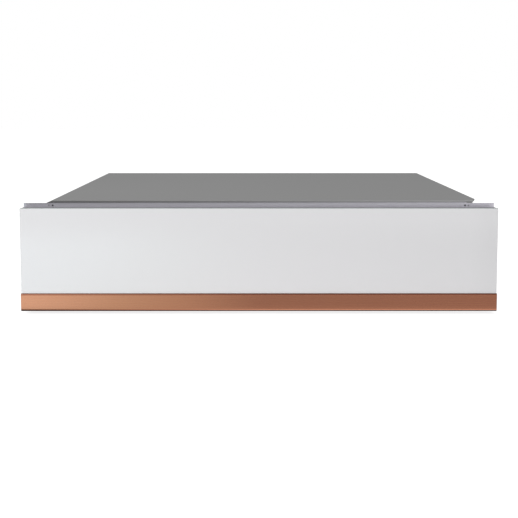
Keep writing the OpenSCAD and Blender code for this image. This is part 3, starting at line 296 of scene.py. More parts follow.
def graded(name, base, roughness, metallic, left, right, rows=None):
    """Coated steel with painted light and shade: lighter towards the right end and, between two heights in
    mm, towards its foot.
    """
    f = Finish(name, base, roughness, metallic)
    where = f.place()
    # Painted light and shade: darker at the left end, lighter at the right
    along = f.ramp(f.axis(where, 0), -300, 300)
    grain = f.noise(f.place((0.01, 1, 1)), 2.2, 3)
    factor = along * 0.94 + grain * 0.06
    # Painted light towards the foot of the band, where the panel's shade falls
    if rows:
        foot_z, top_z = rows
        z = f.axis(where, 2)
        foot = f.ramp(z, top_z, foot_z)
        band = f.ramp(z, foot_z - 12, foot_z - 2)
        side = 0.27
        factor = band * (along * 0.47 + foot * 0.48 - side) + side + grain * 0.055
    spread = 0.08
    f.shade(factor, left, right)
    f.roughen(grain, roughness - spread / 2, spread)
    f.bump(grain, 0.006)
    return f.material


def white_front_glass():
    """White paint behind polished glass, with painted light low in its right half and painted shade at its
    right end.
    """
    f = Finish("white front glass", colours().glass, 0.35, Coat_Weight=0.7, Coat_IOR=1.5, Coat_Roughness=0.04)
    where = f.place()
    x, z = f.axis(where, 0), f.axis(where, 2)
    waves = f.noise(where, 0.004, 1)
    # Painted light: paler towards the foot in the right half, against the shade that falls low on the glass
    pale = f.ramp(z, 112, 35) * f.ramp(x, -280, 0)
    # Painted shade: darker at the right end
    end = f.ramp(x, 262, 290)
    f.shade(waves * 0.167 + pale * 0.54 - end * 0.29 + 0.292, 0.955, 1.075)
    f.roughen(waves, 0.33, 0.05)
    return f.material


def ground_glass_edge():
    """Fine ground edge of the front glass, with the green of its thickness."""
    f = Finish("ground glass edge", (0.46, 0.50, 0.49), 0.5)
    grit = f.noise(f.place(), 3, 2)
    f.shade(grit, 0.94, 1.04)
    f.bump(grit, 0.01)
    return f.material


def copper_strip(name="copper strip", painted_shade_shares=(1, 1, 1)):
    """Anodised aluminium in a copper tone, brushed from end to end; a darker tone of it makes the
    painted-shade copies.
    """
    tone = [c * share for c, share in zip(colours().copper, painted_shade_shares)]
    f = Finish(name, tone, 0.3, 1.0, Coat_Roughness=0.12, Coat_Weight=0.35)
    grain = f.noise(f.place((0.003, 1, 1)), 3.2, 4, 0.62)
    long_grain = f.noise(f.place((0.0012, 0.8, 0.8)), 1.6, 2)
    both = f.mixed(grain, long_grain, 0.65)
    f.shade(both, 0.84, 1.16)
    f.roughen(both, 0.2, 0.14)
    f.bump(grain, 0.012)
    return f.material


def cover_steel():
    """Dull grey brushed sheet of the top cover."""
    f = Finish("cover steel", colours().cover, 0.55, 0.35)
    grain = f.noise(f.place((0.006, 1, 1)), 0.9, 4, 0.65)
    broad = f.noise(f.place((0.004, 0.12, 1)), 0.5, 2)
    both = f.mixed(grain, broad, 0.5)
    f.shade(both, 0.86, 1.12)
    f.roughen(both, 0.48, 0.14)
    f.bump(grain, 0.015)
    return f.material


def zinc_sheet():
    """Zinc-coated steel with its flat crystals and a light haze."""
    f = Finish("zinc sheet", colours().zinc, 0.38, 0.85)
    flakes = f.cells(f.place(), 0.16, output=1)
    flake = f.add("ShaderNodeSeparateColor", inputs=(flakes,))
    haze = f.noise(f.place(), 0.02, 3)
    f.shade(f.mixed(flake, haze, 0.45), 0.88, 1.1)
    f.roughen(flake, 0.3, 0.14)
    f.bump(f.noise(f.place(), 0.8, 2), 0.006)
    return f.material


def clear_glass():
    """Toughened glass of the lid."""
    f = Finish("clear lid glass", (0.93, 0.97, 0.955), 0.03, IOR=1.5, Transmission_Weight=1.0)
    f.roughen(f.noise(f.place(), 0.03, 3), 0.01, 0.03)
    return f.material


def black_glass():
    """Black glass over the touch fields."""
    f = Finish("black control glass", (0.012, 0.012, 0.014), 0.08, Coat_Weight=0.5, Coat_Roughness=0.03)
    smear = f.noise(f.place(), 0.05, 3)
    f.roughen(smear, 0.04, 0.1)
    f.shade(smear, 0.8, 1.3)
    return f.material


def touch_mark():
    """Pale marks on the control glass."""
    f = Finish("touch mark", (0.75, 0.78, 0.8), 0.4)
    f.shade(f.noise(f.place(), 0.5, 2), 0.92, 1.05)
    return f.material


def laminations():
    """Stacked iron sheets, one line to each sheet."""
    f = Finish("iron laminations", (0.16, 0.16, 0.17), 0.45, 0.8)
    line = f.axis(f.place(), 1).wrapped(0.5) * 2
    rust = f.noise(f.place(), 0.2, 3)
    f.shade(f.mixed(line, rust, 0.6), 0.55, 1.25)
    f.roughen(rust, 0.35, 0.2)
    f.bump(line, 0.08)
    return f.material


def copper_wire():
    """Close turns of enamelled wire."""
    f = Finish("copper wire", (0.5, 0.21, 0.06), 0.3, 0.9)
    turn = f.axis(f.place(), 2).wrapped(0.45) * 2.2
    f.shade(turn, 0.45, 1.2)
    f.roughen(turn, 0.25, 0.1)
    f.bump(turn, 0.2)
    return f.material


def circuit_board():
    """Green board with paler tracks and bright pads."""
    f = Finish("circuit board", (0.012, 0.11, 0.045), 0.35)
    place = f.place()
    track = f.cells(place, 0.22, 0.6, "CHEBYCHEV").wrapped(0.12) * 6
    pad = f.cells(place, 0.18, 0.3) < 0.13
    f.set("Base Color", f.blend(pad, f.tone(track, 0.7, 1.9), (0.6, 0.58, 0.5)))
    f.set("Metallic", pad * 0.9)
    f.bump(track, 0.04)
    return f.material


def glass_cloth():
    """Brown woven tape over the heating band."""
    f = Finish("glass cloth tape", (0.26, 0.13, 0.055), 0.5)
    place = f.place()
    x, y = [f.axis(place, number).wrapped(0.4) for number in (0, 1)]
    weave = (x + y) * 1.2
    f.shade(weave, 0.75, 1.3)
    f.roughen(weave, 0.4, 0.15)
    f.bump(weave, 0.06)
    return f.material


def make_finishes():
    """Every finish by its record slot."""
    c = colours()
    across, even, deep = (0.02, 1, 1), (1, 1, 1), (1, 0.02, 1)
    return {
        "housing_steel": zinc_sheet(),
        "cover_steel": cover_steel(),
        # The frame's grade is painted light; the fold's and the lip's grades are painted shade
        "frame_steel": graded("frame steel", c.frame, 0.38, 0.5, 0.62, 1.5, (133, 138)),
        "fold_shade": graded("shaded fold", c.frame, 0.3, 0.8, 0.2, 1.3),
        "lip_shade": graded("shaded lip", c.cover, 0.5, 0.35, 0.66, 1.7),
        "pan_steel": brushed("pan steel", [t * 0.38 for t in c.frame], (0.01, 1, 1), 0.4, 0.5, 0.006, 0.08),
        "rail_steel": brushed("rail steel", (0.6, 0.6, 0.61), deep),
        "screw_steel": brushed("screw steel", (0.62, 0.62, 0.63), even, 0.25),
        "deck_steel": brushed("deck steel", c.stainless, (0.012, 1, 1), depth=0.015),
        "white_glass": white_front_glass(),
        "black_glass": black_glass(),
        "clear_glass": clear_glass(),
        "copper_strip": copper_strip(),
        "bar_aluminium": brushed("bar aluminium", c.aluminium, across, 0.34, depth=0.012),
        "cast_aluminium": mottled("cast aluminium", (0.5, 0.51, 0.53), 0.42, 0.95, 1.6, 0.06),
        "cage_brass": brushed("cage brass", (0.6, 0.45, 0.2), (1, 0.05, 1)),
        "black_plastic": mottled("black plastic", c.plastic, 0.5, 0, 2.0, 0.03),
        "white_plastic": mottled("white plastic", (0.7, 0.7, 0.7), 0.4, 0, 2.0),
        "rubber": mottled("black rubber", (0.014, 0.014, 0.016), 0.72, 0, 1.4, 0.05, 0.7, 1.4),
        "hose_rubber": mottled("hose rubber", (0.02, 0.02, 0.022), 0.6, 0, 0.9, 0.04, 0.8, 1.3),
        "silicone": mottled("silicone strip", c.silicone, 0.45, 0, 0.8, 0.03, 0.9, 1.1),
        "bond_foam": mottled("bonding sheet", (0.6, 0.6, 0.6), 0.8, 0, 1.5, 0.1),
        "motor_paint": mottled("motor paint", (0.07, 0.08, 0.09), 0.45, 0.2, 0.7, 0.03),
        "iron_sheets": laminations(),
        "copper_wire": copper_wire(),
        "circuit_board": circuit_board(),
        "band_cover": glass_cloth(),
        "glass_edge": ground_glass_edge(),
        # Darker copies of the copper: painted shade in the strip's top step and on its underside
        "copper_step_painted_shade": copper_strip("copper step painted shade", (0.62, 0.5, 0.5)),
        "copper_foot_painted_shade": copper_strip("copper foot painted shade", (0.3, 0.2, 0.16)),
        "touch_mark": touch_mark(),
    }


FINISHES = {}


# Modelling by hand

def done():
    bpy.ops.object.mode_set(mode="OBJECT")


def deselect():
    if bpy.context.object and bpy.context.object.mode != "OBJECT":
        done()
    bpy.ops.object.select_all(action="DESELECT")


def choose(piece, *more):
    """Selects pieces, the first of them active."""
    deselect()
    for o in (piece, *more):
        o.select_set(True)
    bpy.context.view_layer.objects.active = piece


def edit(piece):
    """Opens a piece in edit mode with all of it selected."""
    choose(piece)
    bpy.ops.object.mode_set(mode="EDIT")
    bpy.ops.mesh.select_all(action="SELECT")


def named(piece, name):
    piece.name = piece.data.name = name
    return piece


def begin(name):
    """Names a new primitive and opens it in edit mode."""
    piece = named(bpy.context.object, name)
    edit(piece)
    return piece


def block(name, corner, opposite, flat=False):
    """A cube, or a flat sheet, drawn out between two opposite corners."""
    deselect()
    add = bpy.ops.mesh.primitive_plane_add if flat else bpy.ops.mesh.primitive_cube_add
    add(size=1)
    piece = begin(name)
    corner, opposite = Vector(corner), Vector(opposite)
    span = opposite - corner
    bpy.ops.transform.resize(value=(span.x, span.y, 1 if flat else span.z))
    bpy.ops.transform.translate(value=(corner + opposite) / 2)
    done()
    return piece


def cube(name, centre, half):
    """A cube drawn out to both sides of its centre."""
    centre, half = Vector(centre), Vector(half)
    return block(name, centre - half, centre + half)


def rod(name, start, length, radius, axis="Z", sides=48, radius_end=None):
    """A round bar or cone from its start along an axis."""
    deselect()
    bpy.ops.mesh.primitive_cone_add(
        vertices=sides, radius1=radius, radius2=radius if radius_end is None else radius_end,
        depth=length, location=Vector(start) + AXES[axis] * length / 2, rotation=AXIS_TURN[axis],
    )
    piece = named(bpy.context.object, name)
    settle(piece)
    return piece


def settle(piece):
    """Moves a piece's place and turn into its mesh."""
    choose(piece)
    bpy.ops.object.transform_apply(location=True, rotation=True, scale=True)


def pick(piece, kind, test):
    """Selects only the faces, edges or points that pass a test, in edit mode."""
    edit(piece)
    bpy.ops.mesh.select_mode(type=kind)
    bpy.ops.mesh.select_all(action="DESELECT")
    done()
    mesh = piece.data
    if kind == "FACE":
        for face in mesh.polygons:
            face.select = test(face.center, face.normal)
    elif kind == "EDGE":
        for edge in mesh.edges:
            a, b = [mesh.vertices[i].co for i in edge.vertices]
            edge.select = test((a + b) / 2, b - a)
    else:
        for point in mesh.vertices:
            point.select = test(point.co)
    bpy.ops.object.mode_set(mode="EDIT")


def near(a, b, gap=0.02 * MM):
    return abs(a - b) < gap


def extrude(piece, test, by):
    """Draws the picked edges out by a vector."""
    pick(piece, "EDGE", test)
    bpy.ops.mesh.extrude_edges_move(TRANSFORM_OT_translate={"value": by})
    done()


def shift(piece, test, by):
    """Moves the points that pass a test."""
    pick(piece, "VERT", test)
    bpy.ops.transform.translate(value=by)
    done()


def bevel_edges(piece, test, width, segments=3, clamp=True):
    """Rounds the picked edges."""
    pick(piece, "EDGE", test)
    bpy.ops.mesh.bevel(offset=width, segments=segments, affect="EDGES", clamp_overlap=clamp)
    done()


def bevel_level(piece, axis, level, width, segments=3):
    """Rounds the edges at one level of an axis (0, 1 or 2)."""
    bevel_edges(piece, lambda c, way: near(c[axis], level), width, segments)


def sink(piece, test, width, depth):
    """Insets the picked faces and sinks them."""
    pick(piece, "FACE", test)
    bpy.ops.mesh.inset(thickness=width, depth=0)
    bpy.ops.mesh.inset(thickness=depth * 0.6, depth=-depth)
    done()


def modify(piece, kind, **settings):
    """Adds one modifier and applies it."""
    choose(piece)
    modifier = piece.modifiers.new(kind.title(), kind)
    for key, value in settings.items():
        setattr(modifier, key, value)
    bpy.ops.object.modifier_apply(modifier=modifier.name)


def combine(piece, operation, *others):
    """Cuts other pieces out of one or unites them with it, and deletes them."""
    for other in others:
        modify(piece, "BOOLEAN", object=other, operation=operation, solver="EXACT")
        remove(other)


def carve(piece, *cutters):
    combine(piece, "DIFFERENCE", *cutters)


def fuse(piece, *more):
    """Joins separate bodies into one object."""
    choose(piece, *more)
    if more:
        bpy.ops.object.join()
    return piece


def thicken(piece, thickness, offset=-1.0):
    """Gives a folded sheet its wall."""
    modify(piece, "SOLIDIFY", thickness=thickness, offset=offset, use_even_offset=True)


def soften(piece, width=0.2 * MM, segments=2, angle=40):
    """Breaks the sharp edges and shades the piece smooth."""
    modify(
        piece, "BEVEL", width=width, segments=segments, limit_method="ANGLE",
        angle_limit=math.radians(angle), harden_normals=False, use_clamp_overlap=True,
    )
    smooth(piece, angle)


def smooth(piece, angle=40):
    """Shades a piece smooth across its gentle edges, with its large faces flat."""
    choose(piece)
    bpy.ops.object.shade_smooth_by_angle(angle=math.radians(angle))
    modify(piece, "WEIGHTED_NORMAL", mode="FACE_AREA", weight=100, keep_sharp=True)


def coat(piece, slot, *extra):
    """Gives a piece the finish of a record slot, then any further ones."""
    piece.data.materials.clear()
    for name in (slot, *extra):
        piece.data.materials.append(FINISHES[name])


def paint(piece, index, test):
    """Puts another of the piece's finishes on the faces that pass a test."""
    for face in piece.data.polygons:
        if test(face.center, face.normal):
            face.material_index = index


def stand_in(piece, node):
    """The finished piece takes the place of a CAD node and moves with its body."""
    settle(piece)
    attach(piece, BODY_OF[node])
    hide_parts(node)


def dress(piece, node, slot, angle=40):
    """Shades a new piece, coats it and puts it in place of a CAD node; a softened one is shaded."""
    if angle:
        smooth(piece, angle)
    coat(piece, slot)
    stand_in(piece, node)


def fit(name, pieces, body, slot, finish=None, angle=40):
    """Joins new pieces into one of its own that moves with a body."""
    piece = named(fuse(*pieces), name)
    if angle:
        smooth(piece, angle)
    coat(piece, finish or slot)
    settle(piece)
    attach(piece, body)


def copy_of(node, kind):
    """A copy of a CAD node with its triangles merged and its flat faces whole again."""
    name = f"{node}_{kind}"
    piece = named(bpy.data.objects.new(name, NODES[node].data.copy()), name)
    bpy.context.scene.collection.objects.link(piece)
    choose(piece)
    bpy.ops.mesh.customdata_custom_splitnormals_clear()
    edit(piece)
    bpy.ops.mesh.remove_doubles(threshold=0.002 * MM)
    bpy.ops.mesh.dissolve_limited(angle_limit=math.radians(0.4))
    done()
    return piece


def soft_copy(node, kind, width, segments=2, angle=40):
    """A copy of a CAD node with its edges rounded by some millimetres, which takes its place."""
    piece = copy_of(node, kind)
    soften(piece, width * MM, segments, angle)
    dress(piece, node, SLOT_OF[node], None)
    return piece


def parts_of(node):
    """Points of each separate solid of a CAD node, from left to right and front to back."""
    edit(copy_of(node, "parts"))
    bpy.ops.mesh.separate(type="LOOSE")
    done()
    found = []
    for part in list(bpy.context.selected_objects):
        found.append([v.co.copy() for v in part.data.vertices])
        remove(part)
    return sorted(found, key=lambda points: [round(x, 5) for x in corners(points)[0]])


def corners(points):
    """Lowest and highest corner of some points."""
    return [Vector(limit(p[k] for p in points) for k in range(3)) for limit in (min, max)]


def off_axis(point, centre, axis):
    """Distance of a point from a line along an axis."""
    away = point - centre
    away[axis] = 0
    return away.length


def twin(piece):
    """A copy of a piece with its own mesh."""
    choose(piece)
    bpy.ops.object.duplicate(linked=False)
    return bpy.context.object


def aim(piece, way, place):
    """Turns a piece that was made along Z to point another way, and moves it to its place."""
    piece.rotation_mode = "QUATERNION"
    piece.rotation_quaternion = AXES["Z"].rotation_difference(Vector(way))
    piece.location = place
    settle(piece)
    return piece


def copies(model, spots):
    """A copy of a model for each way and place; the model goes."""
    placed = [aim(twin(model), way, place) for way, place in spots]
    remove(model)
    return placed


def remove(*pieces):
    for piece in pieces:
        bpy.data.objects.remove(piece, do_unlink=True)


def turned(name, profile, steps=48):
    """A profile of (radius, height) points in millimetres, spun round Z."""
    deselect()
    bpy.ops.mesh.primitive_plane_add(size=MM)
    piece = begin(name)
    bpy.ops.mesh.select_mode(type="VERT")
    bpy.ops.mesh.merge(type="CENTER")
    bpy.ops.transform.translate(value=(profile[0][0] * MM, 0, profile[0][1] * MM))
    for (r0, z0), (r1, z1) in zip(profile, profile[1:]):
        bpy.ops.mesh.extrude_region_move(
            TRANSFORM_OT_translate={"value": ((r1 - r0) * MM, 0, (z1 - z0) * MM)}
        )
    bpy.ops.mesh.select_all(action="SELECT")
    bpy.ops.mesh.spin(steps=steps, angle=2 * math.pi, center=(0, 0, 0), axis=(0, 0, 1))
    done()
    tidy_mesh(piece)
    return piece


def tidy_mesh(piece):
    """Merges doubles and points all faces outwards."""
    edit(piece)
    bpy.ops.mesh.remove_doubles(threshold=0.001 * MM)
    bpy.ops.mesh.normals_make_consistent(inside=False)
    done()


class DRAWER_OT_stage(bpy.types.Operator):
    """White floor, soft lamps and the camera at the photograph's angle"""
    bl_idname = "drawer.stage"
    bl_label = "Stage"

    CAMERA_FROM_GLASS = Vector((-1.69, -1274.59, 131.75)) * MM
    PITCH = 0.1
    YAW = -0.00136
    FOCAL_PIXELS = 1031.52
    PICTURE = 518
    SHIFT = -0.10297
    ROOM_LIGHT = 0.53
    FLOOR = 14
    FLOOR_GLOW = 0.84
    FLOOR_TONE = 0.42
    # Name, place, aim, width, height and power
    LAMPS = (
        ("left softbox", (-1.5, -1.3, 1.2), (-0.1, -0.27, 0.1), 1.0, 1.0, 18),
        ("top softbox", (0.0, -0.1, 2.4), (0.0, 0.0, 0.1), 2.4, 2.0, 16),
    )
    CARD_WIDTH = 1.6
    CARD_LIGHT = 2.2
    NEAR_CARD = (
        (0.2, (0.85, 1.0, 1.0)), (0.31, (0.76, 0.91, 0.92)), (0.38, (0.55, 0.65, 0.62)),
        (0.444, (0.44, 0.48, 0.46)), (0.5, (0.3, 0.3, 0.3)), (0.7, (0.3, 0.29, 0.29)),
        (0.8, (0.25, 0.24, 0.24)),
    )
    FAR_CARD = ((0.1, 0.26), (0.29, 0.32), (0.65, 0.66), (0.85, 0.85))
    LOW_CARD = ((0.3, 0.12), (0.4, 0.42), (0.5, 0.64), (0.8, 0.64))
    # Painted shade, mirrored in the strip's foot and under the drawer
    FOOT_CARD = (0.06, 0.05, 0.05)
    UNDER_CARD = (0.34, 0.34, 0.34)
    # Where the near card gives way to the far one, the low one, the foot's and the one underneath
    CARD_STEPS = ((-0.6, -1.0), (-0.03, -0.015), (-0.004, 0.0), (0.02, 0.03))

    def execute(self, context):
        self.floor()
        self.world()
        for lamp in self.LAMPS:
            self.lamp(*lamp)
        self.camera()
        return {"FINISHED"}

    def floor(self):
        """White floor that keeps the shadow; what is glossy mirrors a graded card on it."""
        deselect()
        bpy.ops.mesh.primitive_plane_add(size=self.FLOOR, location=(0, 1.5, 0))
        floor = bpy.context.object
        floor.name = "floor"
        bpy.ops.object.transform_apply(location=True)
        f = Finish("floor", (0.8, 0.8, 0.8), 0.9, Specular_IOR_Level=0.0)
        tone = (self.FLOOR_TONE, self.FLOOR_TONE, self.FLOOR_TONE, 1)
        glow = f.add("ShaderNodeEmission", inputs={"Color": (1, 1, 1, 1), "Strength": self.FLOOR_GLOW})
        pale = f.add("ShaderNodeBsdfDiffuse", inputs={"Color": tone})
        shown = f.add("ShaderNodeAddShader", inputs=(glow, pale))
        card = f.add("ShaderNodeEmission", inputs={"Color": self.card(f), "Strength": self.CARD_LIGHT})
        glossy = f.add("ShaderNodeLightPath", output="Is Glossy Ray")
        lit = f.add("ShaderNodeMixShader", inputs=(glossy, Wire(f, f.shader.outputs[0]), card))
        both = f.add("ShaderNodeMixShader", inputs=(f.seen(), lit, shown))
        f.link(both, f.nodes["Material Output"].inputs["Surface"])
        floor.data.materials.append(f.material)

    def card(self, f):
        """Colour of the mirrored floor by place: beside the strip, near the drawer and far off; a painted
        reflection, with bright grades as painted highlights and painted shade at the strip's foot and under
        the drawer.
        """
        where = f.add("ShaderNodeTexCoord", output="Object")
        across = f.axis(where, 0) / self.CARD_WIDTH + 0.5
        ahead = f.axis(where, 1)
        tone, far, low_tone = [f.stops(across, row) for row in (self.NEAR_CARD, self.FAR_CARD, self.LOW_CARD)]
        front = low("trim_strip").y
        for (start, end), card in zip(self.CARD_STEPS, (far, low_tone, self.FOOT_CARD, self.UNDER_CARD)):
            tone = f.blend(f.ramp(ahead, front + start, front + end), tone, card)
        return tone

    def world(self):
        """White where it is seen, and dimmer as a light."""
        world = bpy.data.worlds.new("studio")
        bpy.context.scene.world = world
        tree = Tree(world)
        background = tree.nodes["Background"].inputs
        strength = tree.add("ShaderNodeMix", inputs={0: tree.seen(), 2: self.ROOM_LIGHT, 3: 1.0})
        tree.link(strength, background["Strength"])
        tree.link((1, 1, 1, 1), background["Color"])

    def lamp(self, name, place, aim, width, height, watts):
        data = bpy.data.lights.new(name, "AREA")
        data.shape = "RECTANGLE"
        data.size = width
        data.size_y = height
        data.energy = watts
        lamp = bpy.data.objects.new(name, data)
        bpy.context.scene.collection.objects.link(lamp)
        lamp.location = place
        lamp.rotation_euler = (Vector(aim) - Vector(place)).to_track_quat("-Z", "Y").to_euler()

    def camera(self):
        data = bpy.data.cameras.new("camera")
        camera = bpy.data.objects.new("camera", data)
        bpy.context.scene.collection.objects.link(camera)
        bpy.context.scene.camera = camera
        face = Vector((0, low("front_glass").y, high("front_glass").z))
        camera.location = face + self.CAMERA_FROM_GLASS
        camera.rotation_euler = (math.pi / 2 - self.PITCH, 0, self.YAW)
        data.sensor_width = 36
        data.lens = self.FOCAL_PIXELS / self.PICTURE * data.sensor_width
        data.shift_y = self.SHIFT
        data.clip_end = 60


class DRAWER_OT_finishes(bpy.types.Operator):
    """Finishes of the pieces that keep their first shape"""
    bl_idname = "drawer.finishes"
    bl_label = "Finishes"

    def execute(self, context):
        for name, node in NODES.items():
            coat(node, SLOT_OF[name])
        return {"FINISHED"}


class DRAWER_OT_front_glass(bpy.types.Operator):
    """White glass of the front with its ground edges"""
    bl_idname = "drawer.front_glass"
    bl_label = "Front glass"

    LOWER = 0.9 * MM
    HIGHER = 0.35 * MM

    def execute(self, context):
        a, b = span_of("front_glass")
        a.z -= self.LOWER
        b.z += self.HIGHER
        piece = block("front_glass_pane", a, b)
        arris = sizes().glass_arris
        bevel_edges(piece, lambda c, way: near(c.y, a.y) and not near(c.z, a.z), arris, 2)
        bevel_edges(piece, lambda c, way: near(c.y, a.y) and near(c.z, a.z), arris / 2, 2)
        bevel_level(piece, 1, b.y, arris / 2, 1)
        smooth(piece, 30)
        coat(piece, "white_glass", "glass_edge")
        paint(piece, 1, lambda c, n: abs(n.y) < 0.98)
        stand_in(piece, "front_glass")
        return {"FINISHED"}


class DRAWER_OT_copper_strip(bpy.types.Operator):
    """Copper-toned strip under the glass, with rounded long edges"""
    bl_idname = "drawer.copper_strip"
    bl_label = "Copper strip"

    LOWER = 1.0 * MM
    UPPER = 0.7 * MM
    END = 0.5 * MM
    END_ROUND = 0.2 * MM
    LOW_ROUND = 3.0 * MM
    STEP_H = 1.6 * MM
    STEP_IN = 0.5 * MM

    def execute(self, context):
        a, b = span_of("trim_strip")
        a += Vector((self.END, 0, -self.LOWER))
        b -= Vector((self.END, 0, self.UPPER))
        step_z = b.z - self.STEP_H
        piece = block("copper_strip_profile", a, b)
        carve(piece, block("step", (a.x - MM, a.y - MM, step_z), (b.x + MM, a.y + self.STEP_IN, b.z + MM)))
        bevel_edges(piece, lambda c, way: near(c.y, a.y) and near(c.z, a.z), self.LOW_ROUND, 6)
        bevel_edges(piece, lambda c, way: near(c.y, a.y) and near(c.z, step_z), sizes().strip_edge)
        bevel_edges(piece, lambda c, way: near(c.y, a.y) and abs(c.x) > b.x - MM, self.END_ROUND, 2)
        smooth(piece, 30)
        coat(piece, "copper_strip", "copper_step_painted_shade", "copper_foot_painted_shade")
        # Painted shade in the top step, where the gap under the glass lies in shade
        paint(piece, 1, lambda c, n: c.z > step_z - 0.01 * MM and c.y < a.y + MM)
        # Painted shade on the lower rounding's underside
        paint(piece, 2, lambda c, n: n.z < -0.5)
        stand_in(piece, "trim_strip")
        return {"FINISHED"}


class DRAWER_OT_front_pan(bpy.types.Operator):
    """Folded pan and back plate that carry the glass"""
    bl_idname = "drawer.front_pan"
    bl_label = "Front pan"

    def execute(self, context):
        a, b = span_of("front_pan")
        b.z += DRAWER_OT_front_glass.HIGHER
        piece = block("front_pan_sheet", a, b)
        pick(piece, "FACE", lambda c, n: n.y > 0.9)
        bpy.ops.mesh.delete(type="FACE")
        done()
        bevel_level(piece, 1, a.y, sizes().bend, 4)
        thicken(piece, sizes().sheet)
        soften(piece, 0.15 * MM)
        dress(piece, "front_pan", "pan_steel", None)
        soft_copy("panel_back", "sheet", 0.2)
        return {"FINISHED"}


class DRAWER_OT_front_frame(bpy.types.Operator):
    """Front frame of the housing, with its folded top edge, its holes and the tape behind it"""
    bl_idname = "drawer.front_frame"
    bl_label = "Front frame"

    TAPE = 1.0 * MM
    TAPE_WIDTH = 19 * MM
    TAPE_GAP = 0.1 * MM

    def execute(self, context):
        piece = soft_copy("front_frame", "sheet", 0.22)
        top = high("front_frame").z
        # The frame's grade is painted light; the top face of its fold gets painted shade
        coat(piece, "frame_steel", "fold_shade")
        paint(piece, 1, lambda c, n: n.z > 0.9 and near(c.z, top, 0.2 * MM))
        self.tapes()
        return {"FINISHED"}

    def tapes(self):
        """Foam tape behind both sides of the frame, where it meets the cabinet."""
        a, b = span_of("front_frame")
        y = a.y + sizes().sheet
        foot, head = a.z + self.TAPE, b.z - self.TAPE / 4
        tapes = []
        for wall, side in ((low("housing_shell").x, -1), (high("housing_shell").x, 1)):
            start = wall + side * self.TAPE_GAP
            left, right = sorted((start, start + side * self.TAPE_WIDTH))
            tape = block("tape", (left, y, foot), (right, y + self.TAPE, head))
            bevel_level(tape, 1, y + self.TAPE, self.TAPE * 0.4, 2)
            tapes.append(tape)
        fit("cabinet_foam_tape", tapes, "housing", "rubber", "bond_foam")


class DRAWER_OT_top_cover(bpy.types.Operator):
    """Brushed top cover, folded down at the front, right and rear"""
    bl_idname = "drawer.top_cover"
    bl_label = "Top cover"

    WIDTH = 544 * MM
    CORNER_BACK = 22 * MM
    CORNER_IN = 6.5 * MM
    NOTCH = 18 * MM
    THICK = 1.6 * MM
    BEND = 0.6 * MM

    def execute(self, context):
        a, b = span_of("top_cover")
        left = b.x - self.WIDTH
        lip_low = high("front_frame").z - sizes().sheet
        corner_y = a.y + self.CORNER_BACK
        fold_start = corner_y + self.NOTCH
        down = (0, 0, a.z - b.z)

        def rear_fold(c, way):
            return near(c.y, b.y) and near(c.z, b.z)

        def right_fold(c, way):
            return near(c.x, b.x) and near(c.z, b.z) and c.y > fold_start

        piece = block("top_cover_sheet", (left, fold_start, b.z), b, flat=True)
        extrude(piece, lambda c, way: near(c.y, fold_start), (0, -self.NOTCH, 0))
        extrude(piece, lambda c, way: near(c.y, corner_y), (0, -self.CORNER_BACK, 0))
        shift(piece, lambda p: near(p.y, a.y) and near(p.x, b.x), (-self.CORNER_IN, 0, 0))
        extrude(piece, lambda c, way: near(c.y, a.y), (0, 0, lip_low - b.z))
        shift(piece, lambda p: near(p.z, lip_low) and near(p.x, left), (a.x - left, 0, 0))
        shift(piece, lambda p: near(p.z, lip_low) and p.x > 0, (-MM, 0, 0))
        extrude(piece, right_fold, down)
        extrude(piece, rear_fold, down)
        tidy_mesh(piece)
        bevel_edges(
            piece, lambda c, way: near(c.y, a.y) and near(c.z, b.z) or rear_fold(c, way), self.BEND
        )
        thicken(piece, self.THICK)
        soften(piece, 0.12 * MM, 2, 35)
        coat(piece, "cover_steel", "lip_shade")
        # Painted shade on the front lip, darkest at the left
        paint(piece, 1, lambda c, n: n.y < -0.5 and c.y < a.y + MM)
        stand_in(piece, "top_cover")
        return {"FINISHED"}


class DRAWER_OT_sheet_metal(bpy.types.Operator):
    """Other folded and punched sheets, with the soft edges that a press leaves"""
    bl_idname = "drawer.sheet_metal"
    bl_label = "Sheet metal"

    SHEETS = ("housing_shell", "rear_wall", "top_tray", "drawer_tray", "drawer_rear", "deck", "latch_striker")

    def execute(self, context):
        for node in self.SHEETS:
            soft_copy(node, "sheet", 0.25)
        return {"FINISHED"}


class DRAWER_OT_runners(bpy.types.Operator):
    """Rail members with rolled edges, and the push latch"""
    bl_idname = "drawer.runners"
    bl_label = "Runners and latch"

    def execute(self, context):
        for node in ("outer_rails", "middle_rails", "inner_rails"):
            soft_copy(node, "profile", 0.35, 3)
        for node in ("outer_ball_cages", "inner_ball_cages"):
            dress(copy_of(node, "strip"), node, "cage_brass", 50)
        soft_copy("latch_body", "moulding", 0.9, 3)
        a, b = span_of("latch_plunger")
        centre = (a + b) / 2
        r = (b.x - a.x) / 2
        piece = rod("latch_plunger_pin", (centre.x, a.y, centre.z), b.y - a.y, r, "Y")
        bevel_level(piece, 1, a.y, r * 0.6, 4)
        dress(piece, "latch_plunger", "white_plastic")
        return {"FINISHED"}


